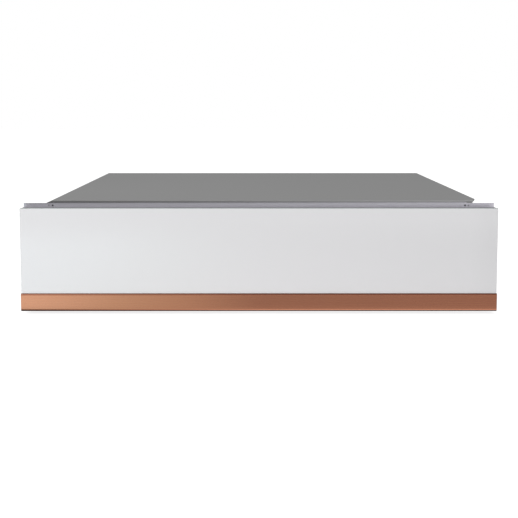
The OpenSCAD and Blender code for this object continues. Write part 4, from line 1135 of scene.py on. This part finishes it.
class DRAWER_OT_screws(bpy.types.Operator):
    """Screws with their cross recesses, round heads outside and flat heads in the rails"""
    bl_idname = "drawer.screws"
    bl_label = "Screws"

    SHANK = 1.9 * MM
    ROUND_HEAD = 1.4 * MM
    FLAT_HEAD = 1.2 * MM
    ROUND_FROM = 3.4 * MM
    SLOT = 0.45 * MM
    SLOT_DEPTH = 0.8 * MM
    TIP = 0.5 * MM

    def execute(self, context):
        for node in ("housing_screws", "drawer_screws"):
            models = {}
            placed = []
            for points in parts_of(node):
                radius, length, way, top = self.read(points)
                key = (round(radius / MM, 2), round(length / MM, 2))
                if key not in models:
                    models[key] = self.model(radius, length)
                placed.append(aim(twin(models[key]), way, top))
            remove(*models.values())
            dress(named(fuse(*placed), node + "_cross_headed"), node, "screw_steel", 35)
        return {"FINISHED"}

    def read(self, points):
        """Head radius, length, direction of the head and place of its top."""
        a, b = corners(points)
        span = b - a
        axis = min(range(3), key=lambda k: abs(span[(k + 1) % 3] - span[(k + 2) % 3]))
        width = span[(axis + 1) % 3]
        centre = (a + b) / 2
        far = [p[axis] for p in points if off_axis(p, centre, axis) > 0.45 * width]
        way = Vector((0, 0, 0))
        way[axis] = 1 if sum(far) / len(far) > centre[axis] else -1
        return width / 2, span[axis], way, centre + way * span[axis] / 2

    def model(self, radius, length):
        """A screw that points down from a head whose top is at the origin."""
        if radius > self.ROUND_FROM:
            under = self.ROUND_HEAD
            head = rod("head", (0, 0, -under), under, radius, "Z", 32)
            bevel_level(head, 2, 0, under * 0.7, 4)
        else:
            under = self.FLAT_HEAD
            head = rod("head", (0, 0, -under), under, self.SHANK, "Z", 32, radius)
        arm = radius * 0.55
        for along, across in ((arm, self.SLOT), (self.SLOT, arm)):
            carve(head, block("slot", (-along, -across, -self.SLOT_DEPTH), (along, across, MM)))
        shank = rod("shank", (0, 0, -length), length - under, self.SHANK, "Z", 16)
        bevel_level(shank, 2, -length, self.TIP, 1)
        return fuse(head, shank)


class DRAWER_OT_feet(bpy.types.Operator):
    """Turned rubber feet under the housing and the buffers behind the front"""
    bl_idname = "drawer.feet"
    bl_label = "Feet and buffers"

    def execute(self, context):
        feet = parts_of("feet")
        a, b = corners(feet[0])
        r, height, base = (b.x - a.x) / 2 / MM, low("housing_shell").z / MM, (b.z - a.z) / MM
        foot = turned("foot", (
            (0, 1.2), (r * 0.45, 1.2), (r * 0.5, 0), (r - 2.2, 0), (r - 1, 0.5),
            (r - 0.8, 1.6), (r - 1.6, height * 0.55), (r - 0.6, height - 0.9),
            (r - 0.4, height), (4.2, height), (4.2, base - 0.4), (3.4, base), (0, base),
        ))
        self.place("feet", "turned_rubber_feet", feet, foot, (0, 0, 1), lambda a, b, mid: (mid.x, mid.y, a.z))
        buffers = parts_of("front_buffers")
        a, b = corners(buffers[0])
        r, t = (b.x - a.x) / 2 / MM, (b.y - a.y) / MM
        profile = ((0, 0), (r, 0), (r, t * 0.3), (r - 0.5, t * 0.7), (r - 1.6, t), (0, t))
        buffer = turned("buffer", profile, 32)
        self.place("front_buffers", "round_buffers", buffers, buffer, (0, -1, 0),
                   lambda a, b, mid: (mid.x, b.y, mid.z))
        return {"FINISHED"}

    def place(self, node, name, solids, model, way, base):
        """A copy of the model with its base where each solid's is."""
        spots = []
        for points in solids:
            a, b = corners(points)
            spots.append((way, base(a, b, (a + b) / 2)))
        dress(named(fuse(*copies(model, spots)), name), node, "rubber", 35)


class DRAWER_OT_mains_socket(bpy.types.Operator):
    """Mains socket in the rear wall with its pins and flange screws"""
    bl_idname = "drawer.mains_socket"
    bl_label = "Mains socket"

    FLANGE = 1.6 * MM
    SCREW_EDGE = 5.5 * MM
    HEAD_R = 2.9 * MM
    HEAD_H = 1.1 * MM
    SLOT_HALF = Vector((HEAD_R * 0.65, HEAD_H, 0.35 * MM))
    SLOT_UP = HEAD_H * 1.45
    PIN_BACK = 7 * MM
    PIN_FIELD = Vector((16, 24, 11)) * MM

    def execute(self, context):
        socket = soft_copy("mains_inlet", "moulding", 0.5, 3)
        a, b = span_of("mains_inlet")
        self.bare_pins(socket, (a + b) / 2, b.y - self.PIN_BACK)
        y, z = high("rear_wall").y + self.FLANGE, (a.z + b.z) / 2
        screws = []
        for x in (a.x + self.SCREW_EDGE, b.x - self.SCREW_EDGE):
            head = rod("socket_screw", (x, y, z), self.HEAD_H, self.HEAD_R, "Y", 32)
            bevel_level(head, 1, y + self.HEAD_H, self.HEAD_H * 0.65)
            carve(head, cube("slot", (x, y + self.SLOT_UP, z), self.SLOT_HALF))
            screws.append(head)
        fit("socket_screw", screws, "housing", "screw_steel")
        return {"FINISHED"}

    def bare_pins(self, socket, centre, back):
        """The three pins inside the socket are bare metal."""
        socket.data.materials.append(FINISHES["screw_steel"])
        half = self.PIN_FIELD / 2

        def on_pin(c, n):
            level = abs(c.x - centre.x) < half.x and abs(c.z - centre.z) < half.z
            return level and back - half.y < c.y < back

        paint(socket, 1, on_pin)


class DRAWER_OT_chamber(bpy.types.Operator):
    """Pressed chamber with a filleted floor, its fitting, lift cylinders and sealing bar"""
    bl_idname = "drawer.chamber"
    bl_label = "Chamber and sealing bar"

    WALL = 1.5 * MM
    CAP = 3 * MM
    CAP_DEPTH = 18 * MM
    CAP_UNDER = 0.4 * MM
    CAP_ROUND = 2.5 * MM

    def execute(self, context):
        tub = copy_of("chamber_tub", "pressing")
        floor_z = low("chamber_tub").z
        fillet = sizes().tub_fillet
        for z, radius in ((floor_z + self.WALL, fillet), (floor_z, fillet + self.WALL)):
            bevel_edges(tub, lambda c, way: near(c.z, z) and abs(way.z) < 0.01 * MM, radius, 6, False)
        soften(tub, 0.4 * MM, 2, 50)
        dress(named(tub, "chamber_pressing"), "chamber_tub", "deck_steel", None)
        soft_copy("suction_fitting", "turning", 0.6, 2)
        soft_copy("lift_cylinders", "turning", 0.8, 3)
        soft_copy("sealing_bar", "profile", 0.5, 3)
        soft_copy("heating_band", "tape", 0.15, 1)
        self.end_caps()
        return {"FINISHED"}

    def end_caps(self):
        a, b = span_of("sealing_bar")
        caps = []
        for x0, x1 in ((a.x - self.CAP, a.x), (b.x, b.x + self.CAP)):
            cap = block("bar_cap", (x0, a.y, b.z - self.CAP_DEPTH), (x1, b.y, b.z - self.CAP_UNDER))
            bevel_edges(cap, lambda c, way: abs(way.x) > MM, self.CAP_ROUND, 4)
            soften(cap, 0.4 * MM)
            caps.append(cap)
        fit("bar_end_caps", caps, "sealing_bar", "black_plastic", angle=None)


class DRAWER_OT_lid(bpy.types.Operator):
    """Glass lid with its seal, grip, pressure bar and hinges"""
    bl_idname = "drawer.lid"
    bl_label = "Lid"

    GLUE = 0.1 * MM

    def execute(self, context):
        soft_copy("lid_glass", "pane", 0.9, 3)
        soft_copy("lid_gasket", "seal", 1.3, 4)
        soft_copy("lid_grip", "profile", 0.7, 3)
        self.pressure_bar()
        self.pressure_strip()
        for node in ("hinge_arms", "hinge_brackets"):
            soft_copy(node, "forging", 0.6, 3)
        soft_copy("hinge_pins", "turning", 0.4, 3)
        spring = copy_of("hinge_springs", "round")
        modify(spring, "SUBSURF", levels=1, render_levels=1)
        dress(spring, "hinge_springs", "screw_steel", 60)
        return {"FINISHED"}

    def pressure_bar(self):
        """The bar under the glass, with a gap of glue between them."""
        top = high("counter_bar").z
        piece = copy_of("counter_bar", "profile")
        shift(piece, lambda p: near(p.z, top), (0, 0, -self.GLUE))
        soften(piece, 0.6 * MM)
        dress(piece, "counter_bar", "bar_aluminium", None)

    def pressure_strip(self):
        """The half-round silicone strip under the bar."""
        a, b = span_of("counter_strip")
        piece = block("counter_strip_half_round", a, b)
        bevel_edges(piece, lambda c, way: near(c.z, a.z) and abs(way.x) > MM, (b.y - a.y) * 0.42, 8)
        soften(piece, 0.15 * MM)
        dress(piece, "counter_strip", "silicone", None)


class DRAWER_OT_controls(bpy.types.Operator):
    """Black touch glass with its plain marks, and the board under it"""
    bl_idname = "drawer.controls"
    bl_label = "Touch controls"

    FIELDS = 7
    DOT = 1.1 * MM
    DOT_STEP = 4.5 * MM
    RING = 4.2 * MM
    RING_WIDTH = 0.7 * MM
    SUNK = 0.1 * MM
    PROUD = 0.06 * MM
    BAR_HALF = Vector((6, 0.3, 0.08)) * MM
    BAR_UP = 4.8 * MM

    def execute(self, context):
        soft_copy("control_glass", "pane", 0.5, 2)
        soft_copy("display_board", "board", 0.15, 1)
        a, b = span_of("control_glass")
        x = (a.x + b.x) / 2
        marks = []
        for field in range(self.FIELDS):
            y = a.y + (field + 0.5) * (b.y - a.y) / self.FIELDS
            if field in (0, self.FIELDS - 1):
                marks.append(self.ring(x, y, b.z))
            else:
                marks += self.dots_and_bar(x, y, b.z, field % 3)
        fit("touch_marks", marks, "drawer", "black_glass", "touch_mark", None)
        return {"FINISHED"}

    def disc(self, name, x, y, z, radius, sides):
        return rod(name, (x, y, z - self.SUNK), self.SUNK + self.PROUD, radius, "Z", sides)

    def dots_and_bar(self, x, y, z, more):
        """One dot or up to two more, in the middle under a bar."""
        marks = []
        for k in range(1 + more):
            dot = self.disc("dot", x + (k - more / 2) * self.DOT_STEP, y, z, self.DOT, 24)
            bevel_edges(dot, lambda c, way: c.z > z, self.PROUD / 2, 1)
            marks.append(dot)
        bar = cube("bar", (x, y + self.BAR_UP, z + (self.PROUD - self.SUNK) / 2), self.BAR_HALF)
        bevel_edges(bar, lambda c, way: abs(way.z) > 0.01 * MM, 0.28 * MM, 2)
        return marks + [bar]

    def ring(self, x, y, z):
        outer = self.disc("ring", x, y, z, self.RING, 40)
        carve(outer, rod("hole", (x, y, z - MM), 2 * MM, self.RING - self.RING_WIDTH, "Z", 40))
        return outer


class DRAWER_OT_pump(bpy.types.Operator):
    """Motor with cooling ribs, cast pump with its cover bolts, and the rubber mounts"""
    bl_idname = "drawer.pump"
    bl_label = "Pump and motor"

    RIBS = 22
    RIB_HALF_LENGTH = 44 * MM
    RIB_WIDTH = 1.6 * MM
    RIB_H = 1.6 * MM
    RIB_SUNK = 0.5 * MM
    RIB_ARC = 230
    BOLTS = 6
    BOLT_CIRCLE = 31 * MM
    BOLT_R = 4 * MM
    BOLT_H = 3 * MM
    WASHER_R = 4.8 * MM
    WASHER_H = 1 * MM
    WASHER_SUNK = 0.2 * MM
    COVER = 8 * MM

    def execute(self, context):
        soft_copy("motor_casing", "casting", 0.8, 3)
        soft_copy("pump_body", "casting", 0.8, 3)
        soft_copy("pump_cover", "casting", 1.0, 3)
        soft_copy("rubber_mounts", "rubber", 0.9, 3)
        shaft = middle("motor_rotor")
        self.ribs(shaft)
        self.bolts(shaft)
        return {"FINISHED"}

    def ribs(self, shaft):
        """Ribs round the motor, save at its foot."""
        x = middle("motor_casing").x
        radius = high("motor_casing").z - shaft.z
        half, side = self.RIB_HALF_LENGTH, self.RIB_WIDTH / 2
        foot, top = radius - self.RIB_SUNK, radius + self.RIB_H
        rib = block("rib", (x - half, -side, foot), (x + half, side, top))
        bevel_edges(rib, lambda c, way: c.z > radius + MM, 0.6 * MM, 2)
        around = []
        for i in range(self.RIBS):
            copy = twin(rib)
            copy.rotation_euler = (math.radians(self.RIB_ARC * (i / (self.RIBS - 1) - 0.5)), 0, 0)
            copy.location = (0, shaft.y, shaft.z)
            settle(copy)
            around.append(copy)
        remove(rib)
        fit("motor_cooling_ribs", around, "drawer", "motor_paint")

    def bolts(self, shaft):
        """Hexagon bolts on their washers, round the pump's cover."""
        bolt = rod("bolt", (0, 0, 0), self.BOLT_H, self.BOLT_R, "Z", 6)
        bevel_level(bolt, 2, self.BOLT_H, 0.5 * MM, 2)
        washer = rod("washer", (0, 0, -self.WASHER_SUNK), self.WASHER_H, self.WASHER_R, "Z", 32)
        bevel_edges(washer, lambda c, way: c.z > 0, 0.2 * MM, 1)
        face = low("pump_cover").x + self.COVER
        spots = []
        for i in range(self.BOLTS):
            angle = 2 * math.pi * (i + 0.5) / self.BOLTS
            across = Vector((0, math.cos(angle), math.sin(angle))) * self.BOLT_CIRCLE
            spots.append(((1, 0, 0), Vector((face, shaft.y, shaft.z)) + across))
        fit("pump_cover_bolts", copies(fuse(bolt, washer), spots), "drawer", "screw_steel", angle=30)


class DRAWER_OT_fan(bpy.types.Operator):
    """Fan frame and an impeller with twisted blades"""
    bl_idname = "drawer.fan"
    bl_label = "Fan"

    BLADES = 7
    HUB = 15 * MM
    HUB_ROUND = 1.6 * MM
    BORE = 3.05 * MM
    TIP_GAP = 1.5 * MM
    SUNK = 1.5 * MM
    CHORD = 19 * MM
    BLADE = 1.4 * MM
    ROWS = 5
    ROOT_ANGLE = 46
    TIP_ANGLE = 28

    def execute(self, context):
        soft_copy("fan_frame", "moulding", 0.6, 2)
        a, b = span_of("fan_impeller")
        depth = b.y - a.y
        hub = rod("hub", (0, -depth / 2, 0), depth, self.HUB, "Y", 48)
        bevel_edges(hub, lambda c, way: near(abs(c.y), depth / 2), self.HUB_ROUND, 4)
        carve(hub, rod("bore", (0, -depth, 0), depth * 0.75 + MM, self.BORE, "Y", 32))
        blade = self.blade((b.x - a.x) / 2 - self.TIP_GAP)
        parts = [hub]
        for i in range(self.BLADES):
            copy = twin(blade)
            copy.rotation_euler = (0, 2 * math.pi * i / self.BLADES, 0)
            settle(copy)
            parts.append(copy)
        remove(blade)
        piece = named(fuse(*parts), "fan_impeller_bladed")
        piece.location = (a + b) / 2
        dress(piece, "fan_impeller", "black_plastic")
        return {"FINISHED"}

    def blade(self, tip):
        """One blade that stands up from the hub, with its pitch falling towards the tip."""
        root = self.HUB - self.SUNK
        span = tip - root
        deselect()
        bpy.ops.mesh.primitive_grid_add(x_subdivisions=6, y_subdivisions=self.ROWS, size=1)
        piece = begin("blade")
        bpy.ops.transform.resize(value=(self.CHORD, span, 1))
        bpy.ops.transform.rotate(value=-math.pi / 2, orient_axis="X", center_override=(0, 0, 0))
        bpy.ops.transform.translate(value=(0, 0, root + span / 2))
        done()
        for row in range(self.ROWS + 1):
            share = row / self.ROWS
            z = root + span * share
            pick(piece, "VERT", lambda p: near(p.z, z))
            angle = math.radians(self.ROOT_ANGLE + (self.TIP_ANGLE - self.ROOT_ANGLE) * share)
            bpy.ops.transform.rotate(value=-angle, orient_axis="Z", center_override=(0, 0, z))
            done()
        thicken(piece, self.BLADE, 0)
        soften(piece, 0.3 * MM)
        return piece


class DRAWER_OT_transformer(bpy.types.Operator):
    """Transformer with its wound coil and clamp bolts"""
    bl_idname = "drawer.transformer"
    bl_label = "Transformer"

    BOLT_IN = 5 * MM
    BOLT_R = 3.4 * MM
    BOLT_OUT = 3 * MM

    def execute(self, context):
        soft_copy("transformer_core", "stack", 0.3, 1)
        soft_copy("transformer_coil", "winding", 2.2, 4)
        a, b = span_of("transformer_core")
        length = b.y - a.y + 2 * self.BOLT_OUT
        bolts = []
        for x in (a.x + self.BOLT_IN, b.x - self.BOLT_IN):
            for z in (a.z + self.BOLT_IN, b.z - self.BOLT_IN):
                bolt = rod("clamp_bolt", (x, a.y - self.BOLT_OUT, z), length, self.BOLT_R, "Y", 6)
                bevel_edges(bolt, lambda c, way: not a.y - MM < c.y < b.y + MM, 0.5 * MM, 2)
                bolts.append(bolt)
        fit("transformer_clamp_bolts", bolts, "drawer", "screw_steel", angle=30)
        return {"FINISHED"}


class DRAWER_OT_main_board(bpy.types.Operator):
    """Main board with capacitors, relays, heat sink, chips and terminals"""
    bl_idname = "drawer.main_board"
    bl_label = "Main board"

    RISE = 7.8 * MM
    BOARD = 1.6 * MM
    BOARD_CORNER = 2 * MM
    POST_IN = 6 * MM
    POST_R = 3 * MM
    SCREW_R = 2.8 * MM
    SCREW_H = 1.6 * MM
    SLOT_HALF = Vector((2, 0.4, 1.1)) * MM
    SLOT_UP = 1.9 * MM
    STEP = 24 * MM
    CAN_R = 8.5 * MM
    CAN_H = 24 * MM
    CAN_RIM = 1.4 * MM
    TOP_SUNK = 0.3 * MM
    TOP_H = 0.6 * MM
    SCORE = 5 * MM
    SCORE_WIDTH = 0.25 * MM
    SCORE_FROM = 0.15 * MM
    RELAY = Vector((24, 18, 15.5)) * MM
    SINK_IN = 15 * MM
    SINK_W = 36 * MM
    SINK_H = 35.5 * MM
    SINK_BASE = 5 * MM
    FINS = 6
    FIN = 2 * MM
    CHIPS = ((7, 16), (9, 9), (7, 12), (5, 6))
    CHIP_FIRST = 14
    CHIP_STEP = 22
    CHIP_GAP = 0.2
    CHIP_TOP = 2.2
    LEG_HALF = (0.8, 0.3, 0.35)
    LEG_OUT = 0.6
    LEG_STEP = 1.8
    TERMINALS = 6
    TERMINAL = Vector((7.6, 8, 9)) * MM
    TERMINAL_FIRST = 34 * MM
    TERMINAL_STEP = 8.2 * MM
    TERMINAL_IN = 1.5 * MM

    def execute(self, context):
        a, b = span_of("main_board")
        z = a.z + self.RISE + self.BOARD
        ys = [(a.y + b.y) / 2 + (i - 1) * self.STEP for i in range(3)]
        relay_x = a.x + 4 * self.CAN_R + 4 * MM
        self.plate(a, b, z)
        self.cans(a.x + 2 * self.CAN_R + MM, ys, z)
        self.relays(relay_x, ys, z)
        self.heat_sink(a, b, z)
        self.chips(relay_x + self.RELAY.x + 8 * MM, a.y, z)
        self.terminals(a.x + self.TERMINAL_FIRST, a.y + self.TERMINAL_IN, z)
        return {"FINISHED"}

    def fit(self, name, pieces, slot):
        fit(name, pieces, "drawer", slot, angle=35)

    def plate(self, a, b, z):
        under = z - self.BOARD
        board = block("main_board_plate", (a.x, a.y, under), (b.x, b.y, z))
        bevel_edges(board, lambda c, way: abs(way.z) > 0.1 * MM, self.BOARD_CORNER)
        soften(board, 0.15 * MM, 1)
        dress(board, "main_board", "circuit_board", None)
        posts = []
        for x in (a.x + self.POST_IN, b.x - self.POST_IN):
            for y in (a.y + self.POST_IN, b.y - self.POST_IN):
                posts.append(rod("post", (x, y, a.z), under - a.z, self.POST_R, "Z", 6))
                head = rod("post_screw", (x, y, z), self.SCREW_H, self.SCREW_R, "Z", 32)
                bevel_level(head, 2, z + self.SCREW_H, self.SCREW_H / 2)
                carve(head, cube("slot", (x, y, z + self.SLOT_UP), self.SLOT_HALF))
                posts.append(head)
        self.fit("main_board_posts", posts, "screw_steel")

    def cans(self, x, ys, z):
        """Capacitors: black sleeves and bright scored tops."""
        rim = z + self.CAN_H
        long, thin = self.SCORE, self.SCORE_WIDTH
        sleeves, tops = [], []
        for y in ys:
            sleeve = rod("sleeve", (x, y, z), self.CAN_H, self.CAN_R, "Z", 40)
            bevel_level(sleeve, 2, rim, 1 * MM)
            sleeves.append(sleeve)
            top = rod("can_top", (x, y, rim - self.TOP_SUNK), self.TOP_H, self.CAN_R - self.CAN_RIM, "Z", 40)
            bevel_edges(top, lambda c, way: c.z > rim, 0.2 * MM, 1)
            for dx, dy in ((long, thin), (thin, long)):
                score = block("score", (x - dx, y - dy, rim + self.SCORE_FROM), (x + dx, y + dy, rim + MM))
                carve(top, score)
            tops.append(top)
        self.fit("capacitor_sleeves", sleeves, "black_plastic")
        self.fit("capacitor_tops", tops, "bar_aluminium")

    def relays(self, x, ys, z):
        boxes = []
        for y in ys:
            corner = Vector((x, y - self.RELAY.y / 2, z))
            box = block("relay", corner, corner + self.RELAY)
            bevel_edges(box, lambda c, way: abs(way.z) > MM or near(c.z, z + self.RELAY.z), 0.8 * MM)
            boxes.append(box)
        self.fit("relay_boxes", boxes, "white_plastic")

    def heat_sink(self, a, b, z):
        x1 = b.x - self.SINK_IN
        x0 = x1 - self.SINK_W
        y0, y1 = a.y + self.SINK_IN, b.y - self.SINK_IN
        top = z + self.SINK_H
        base = block("heat_sink", (x0, y0, z), (x1, y1, z + self.SINK_BASE))
        fins = []
        for i in range(self.FINS):
            x = x0 + i * (self.SINK_W - self.FIN) / (self.FINS - 1)
            fin = block("fin", (x, y0, z + self.SINK_BASE - MM), (x + self.FIN, y1, top))
            bevel_edges(fin, lambda c, way: near(c.z, top) and abs(way.y) > MM, 0.8 * MM)
            fins.append(fin)
        combine(base, "UNION", *fins)
        self.fit("heat_sink_fins", [base], "bar_aluminium")

    def chips(self, x, y, z):
        """A row of chips with their legs on both sides."""
        bodies, legs = [], []
        rise = (self.CHIP_TOP - self.CHIP_GAP) / 2
        for i, (w, d) in enumerate(self.CHIPS):
            foot = Vector((x, y + (self.CHIP_FIRST + i * self.CHIP_STEP) * MM, z))
            centre = foot + Vector((0, 0, self.CHIP_GAP + rise)) * MM
            chip = cube("chip", centre, Vector((w / 2, d / 2, rise)) * MM)
            soften(chip, 0.25 * MM)
            bodies.append(chip)
            rows = d // 2
            for k in range(rows):
                along = (k - (rows - 1) / 2) * self.LEG_STEP
                for side in (-1, 1):
                    out = Vector((side * (w / 2 + self.LEG_OUT), along, self.LEG_HALF[2])) * MM
                    legs.append(cube("leg", foot + out, Vector(self.LEG_HALF) * MM))
        self.fit("board_chips", bodies, "black_plastic")
        self.fit("board_chip_legs", legs, "screw_steel")

    def terminals(self, x, y, z):
        """Screw terminals with a hollow on top and one in front."""
        boxes = []
        for i in range(self.TERMINALS):
            corner = Vector((x + i * self.TERMINAL_STEP, y, z))
            box = block("terminal", corner, corner + self.TERMINAL)
            sink(box, lambda c, n: n.z > 0.9, 1.2 * MM, 1.5 * MM)
            sink(box, lambda c, n: n.y < -0.9, 1.6 * MM, 2.5 * MM)
            boxes.append(box)
        self.fit("board_terminals", boxes, "white_plastic")


class DRAWER_OT_valves(bpy.types.Operator):
    """Valve block with its coils, the hoses with their clamps, and the muffler"""
    bl_idname = "drawer.valves"
    bl_label = "Valves and hoses"

    COIL_ROUND = 1.4 * MM
    CLAMP_IN = 4.2 * MM
    CLAMP_WIDTH = 5 * MM
    CLAMP_T = 0.8 * MM
    CASE = 4 * MM
    CASE_UNDER = 0.3 * MM
    CASE_TOP = 3.6 * MM
    WORM = 13 * MM
    WORM_R = 1.5 * MM
    WORM_UP = 2 * MM
    NECK = 3.5
    BORE = 3.5
    RIBS = 4

    def execute(self, context):
        soft_copy("valve_block", "casting", 0.7, 2)
        # The coils are round at the top; their bores stay sharp for the plungers
        coils = copy_of("valve_coils", "moulding")
        bevel_level(coils, 2, high("valve_coils").z, self.COIL_ROUND, 4)
        dress(coils, "valve_coils", SLOT_OF["valve_coils"])
        for node in ("suction_plunger", "vent_plunger"):
            soft_copy(node, "turning", 0.5, 3)
        hoses = copy_of("hoses", "moulded")
        soften(hoses, 0.7 * MM, 3, 50)
        dress(hoses, "hoses", "hose_rubber", None)
        self.clamps()
        self.muffler()
        return {"FINISHED"}

    def clamps(self):
        """A worm-drive clamp near each hose end."""
        boxes = sorted((corners(points) for points in parts_of("hoses")), key=lambda ends: ends[0].x)
        first, second = boxes[0], boxes[1]
        r = (first[1].z - first[0].z) / 2
        z = (first[0].z + first[1].z) / 2
        inset = self.CLAMP_IN
        along_x, along_y = (1, 0, 0), (0, 1, 0)
        spots = []
        for a, b in boxes:
            if b.x - a.x < 2.5 * r:
                spots += [(along_y, ((a.x + b.x) / 2, y, z)) for y in (a.y + inset, b.y - inset)]
            elif a.x < second[0].x:
                spots += [(along_y, (a.x + r, b.y - inset, z)), (along_x, (b.x - inset, a.y + r, z))]
            else:
                spots += [(along_y, (b.x - r, b.y - inset, z)), (along_x, (a.x + inset, a.y + r, z))]
        fit("hose_clamps", copies(self.clamp(r), spots), "drawer", "screw_steel")

    def clamp(self, r):
        """A band round Z with its worm case on top."""
        w = self.CLAMP_WIDTH
        band = rod("clamp", (0, 0, -w / 2), w, r + self.CLAMP_T)
        carve(band, rod("hole", (0, 0, -w), 2 * w, r))
        soften(band, 0.15 * MM, 1, 50)
        top = r + self.CASE_TOP
        case = block("worm_case", (-self.CASE, r + self.CASE_UNDER, -w / 2), (self.CASE, top, w / 2))
        bevel_edges(case, lambda c, way: near(c.y, top), 1.2 * MM)
        worm = rod("worm", (-self.WORM / 2, r + self.WORM_UP, 0), self.WORM, self.WORM_R, "X", 6)
        bevel_edges(worm, lambda c, way: near(abs(c.x), self.WORM / 2), 0.4 * MM, 2)
        return fuse(band, case, worm)

    def muffler(self):
        """A ribbed can with a neck, turned from one profile in millimetres."""
        a, b = span_of("exhaust_muffler")
        r, length = (b.x - a.x) / 2 / MM, (b.y - a.y) / MM
        body, wall, bore = length - self.NECK, r - 1.2, self.BORE
        ribs = []
        for i in range(self.RIBS):
            z = 5 + i * (body - 10) / self.RIBS
            ribs += [(wall, z), (r, z + 0.8), (r, z + 2.4), (wall, z + 3.2)]
        piece = turned("exhaust_muffler_ribbed", (
            (bore, 0), (r - 3, 0), (wall, 1.6), *ribs, (wall, body - 1.6), (r - 3, body),
            (6, body), (6, length - 0.5), (5.5, length), (bore, length), (bore, 0),
        ))
        aim(piece, (0, -1, 0), ((a.x + b.x) / 2, b.y, (a.z + b.z) / 2))
        dress(piece, "exhaust_muffler", "black_plastic", 35)


class DRAWER_PT_panel(bpy.types.Panel):
    """Lists the steps, sizes and colours"""
    bl_label = "Vacuum Sealing Drawer"
    bl_space_type = "VIEW_3D"
    bl_region_type = "UI"
    bl_category = "Drawer"

    def draw(self, context):
        for step in STEPS:
            self.layout.operator(step.bl_idname)
        for group in (sizes(), colours()):
            box = self.layout.box()
            for name in group.__annotations__:
                box.prop(group, name)


STEPS = (
    DRAWER_OT_stage,
    DRAWER_OT_finishes,
    DRAWER_OT_front_glass,
    DRAWER_OT_copper_strip,
    DRAWER_OT_front_pan,
    DRAWER_OT_front_frame,
    DRAWER_OT_top_cover,
    DRAWER_OT_sheet_metal,
    DRAWER_OT_runners,
    DRAWER_OT_screws,
    DRAWER_OT_feet,
    DRAWER_OT_mains_socket,
    DRAWER_OT_chamber,
    DRAWER_OT_lid,
    DRAWER_OT_controls,
    DRAWER_OT_pump,
    DRAWER_OT_fan,
    DRAWER_OT_transformer,
    DRAWER_OT_main_board,
    DRAWER_OT_valves,
)
CLASSES = (DrawerSizes, DrawerColours, *STEPS, DRAWER_PT_panel)


def register():
    for item in CLASSES:
        bpy.utils.register_class(item)
    bpy.types.Scene.drawer_sizes = bpy.props.PointerProperty(type=DrawerSizes)
    bpy.types.Scene.drawer_colours = bpy.props.PointerProperty(type=DrawerColours)


def unregister():
    del bpy.types.Scene.drawer_sizes
    del bpy.types.Scene.drawer_colours
    for item in reversed(CLASSES):
        bpy.utils.unregister_class(item)


def main():
    register()
    bpy.context.scene.view_settings.view_transform = "Standard"
    FINISHES.update(make_finishes())
    for step in STEPS:
        group, name = step.bl_idname.split(".")
        getattr(getattr(bpy.ops, group), name)()


if __name__ == "__main__":
    main()
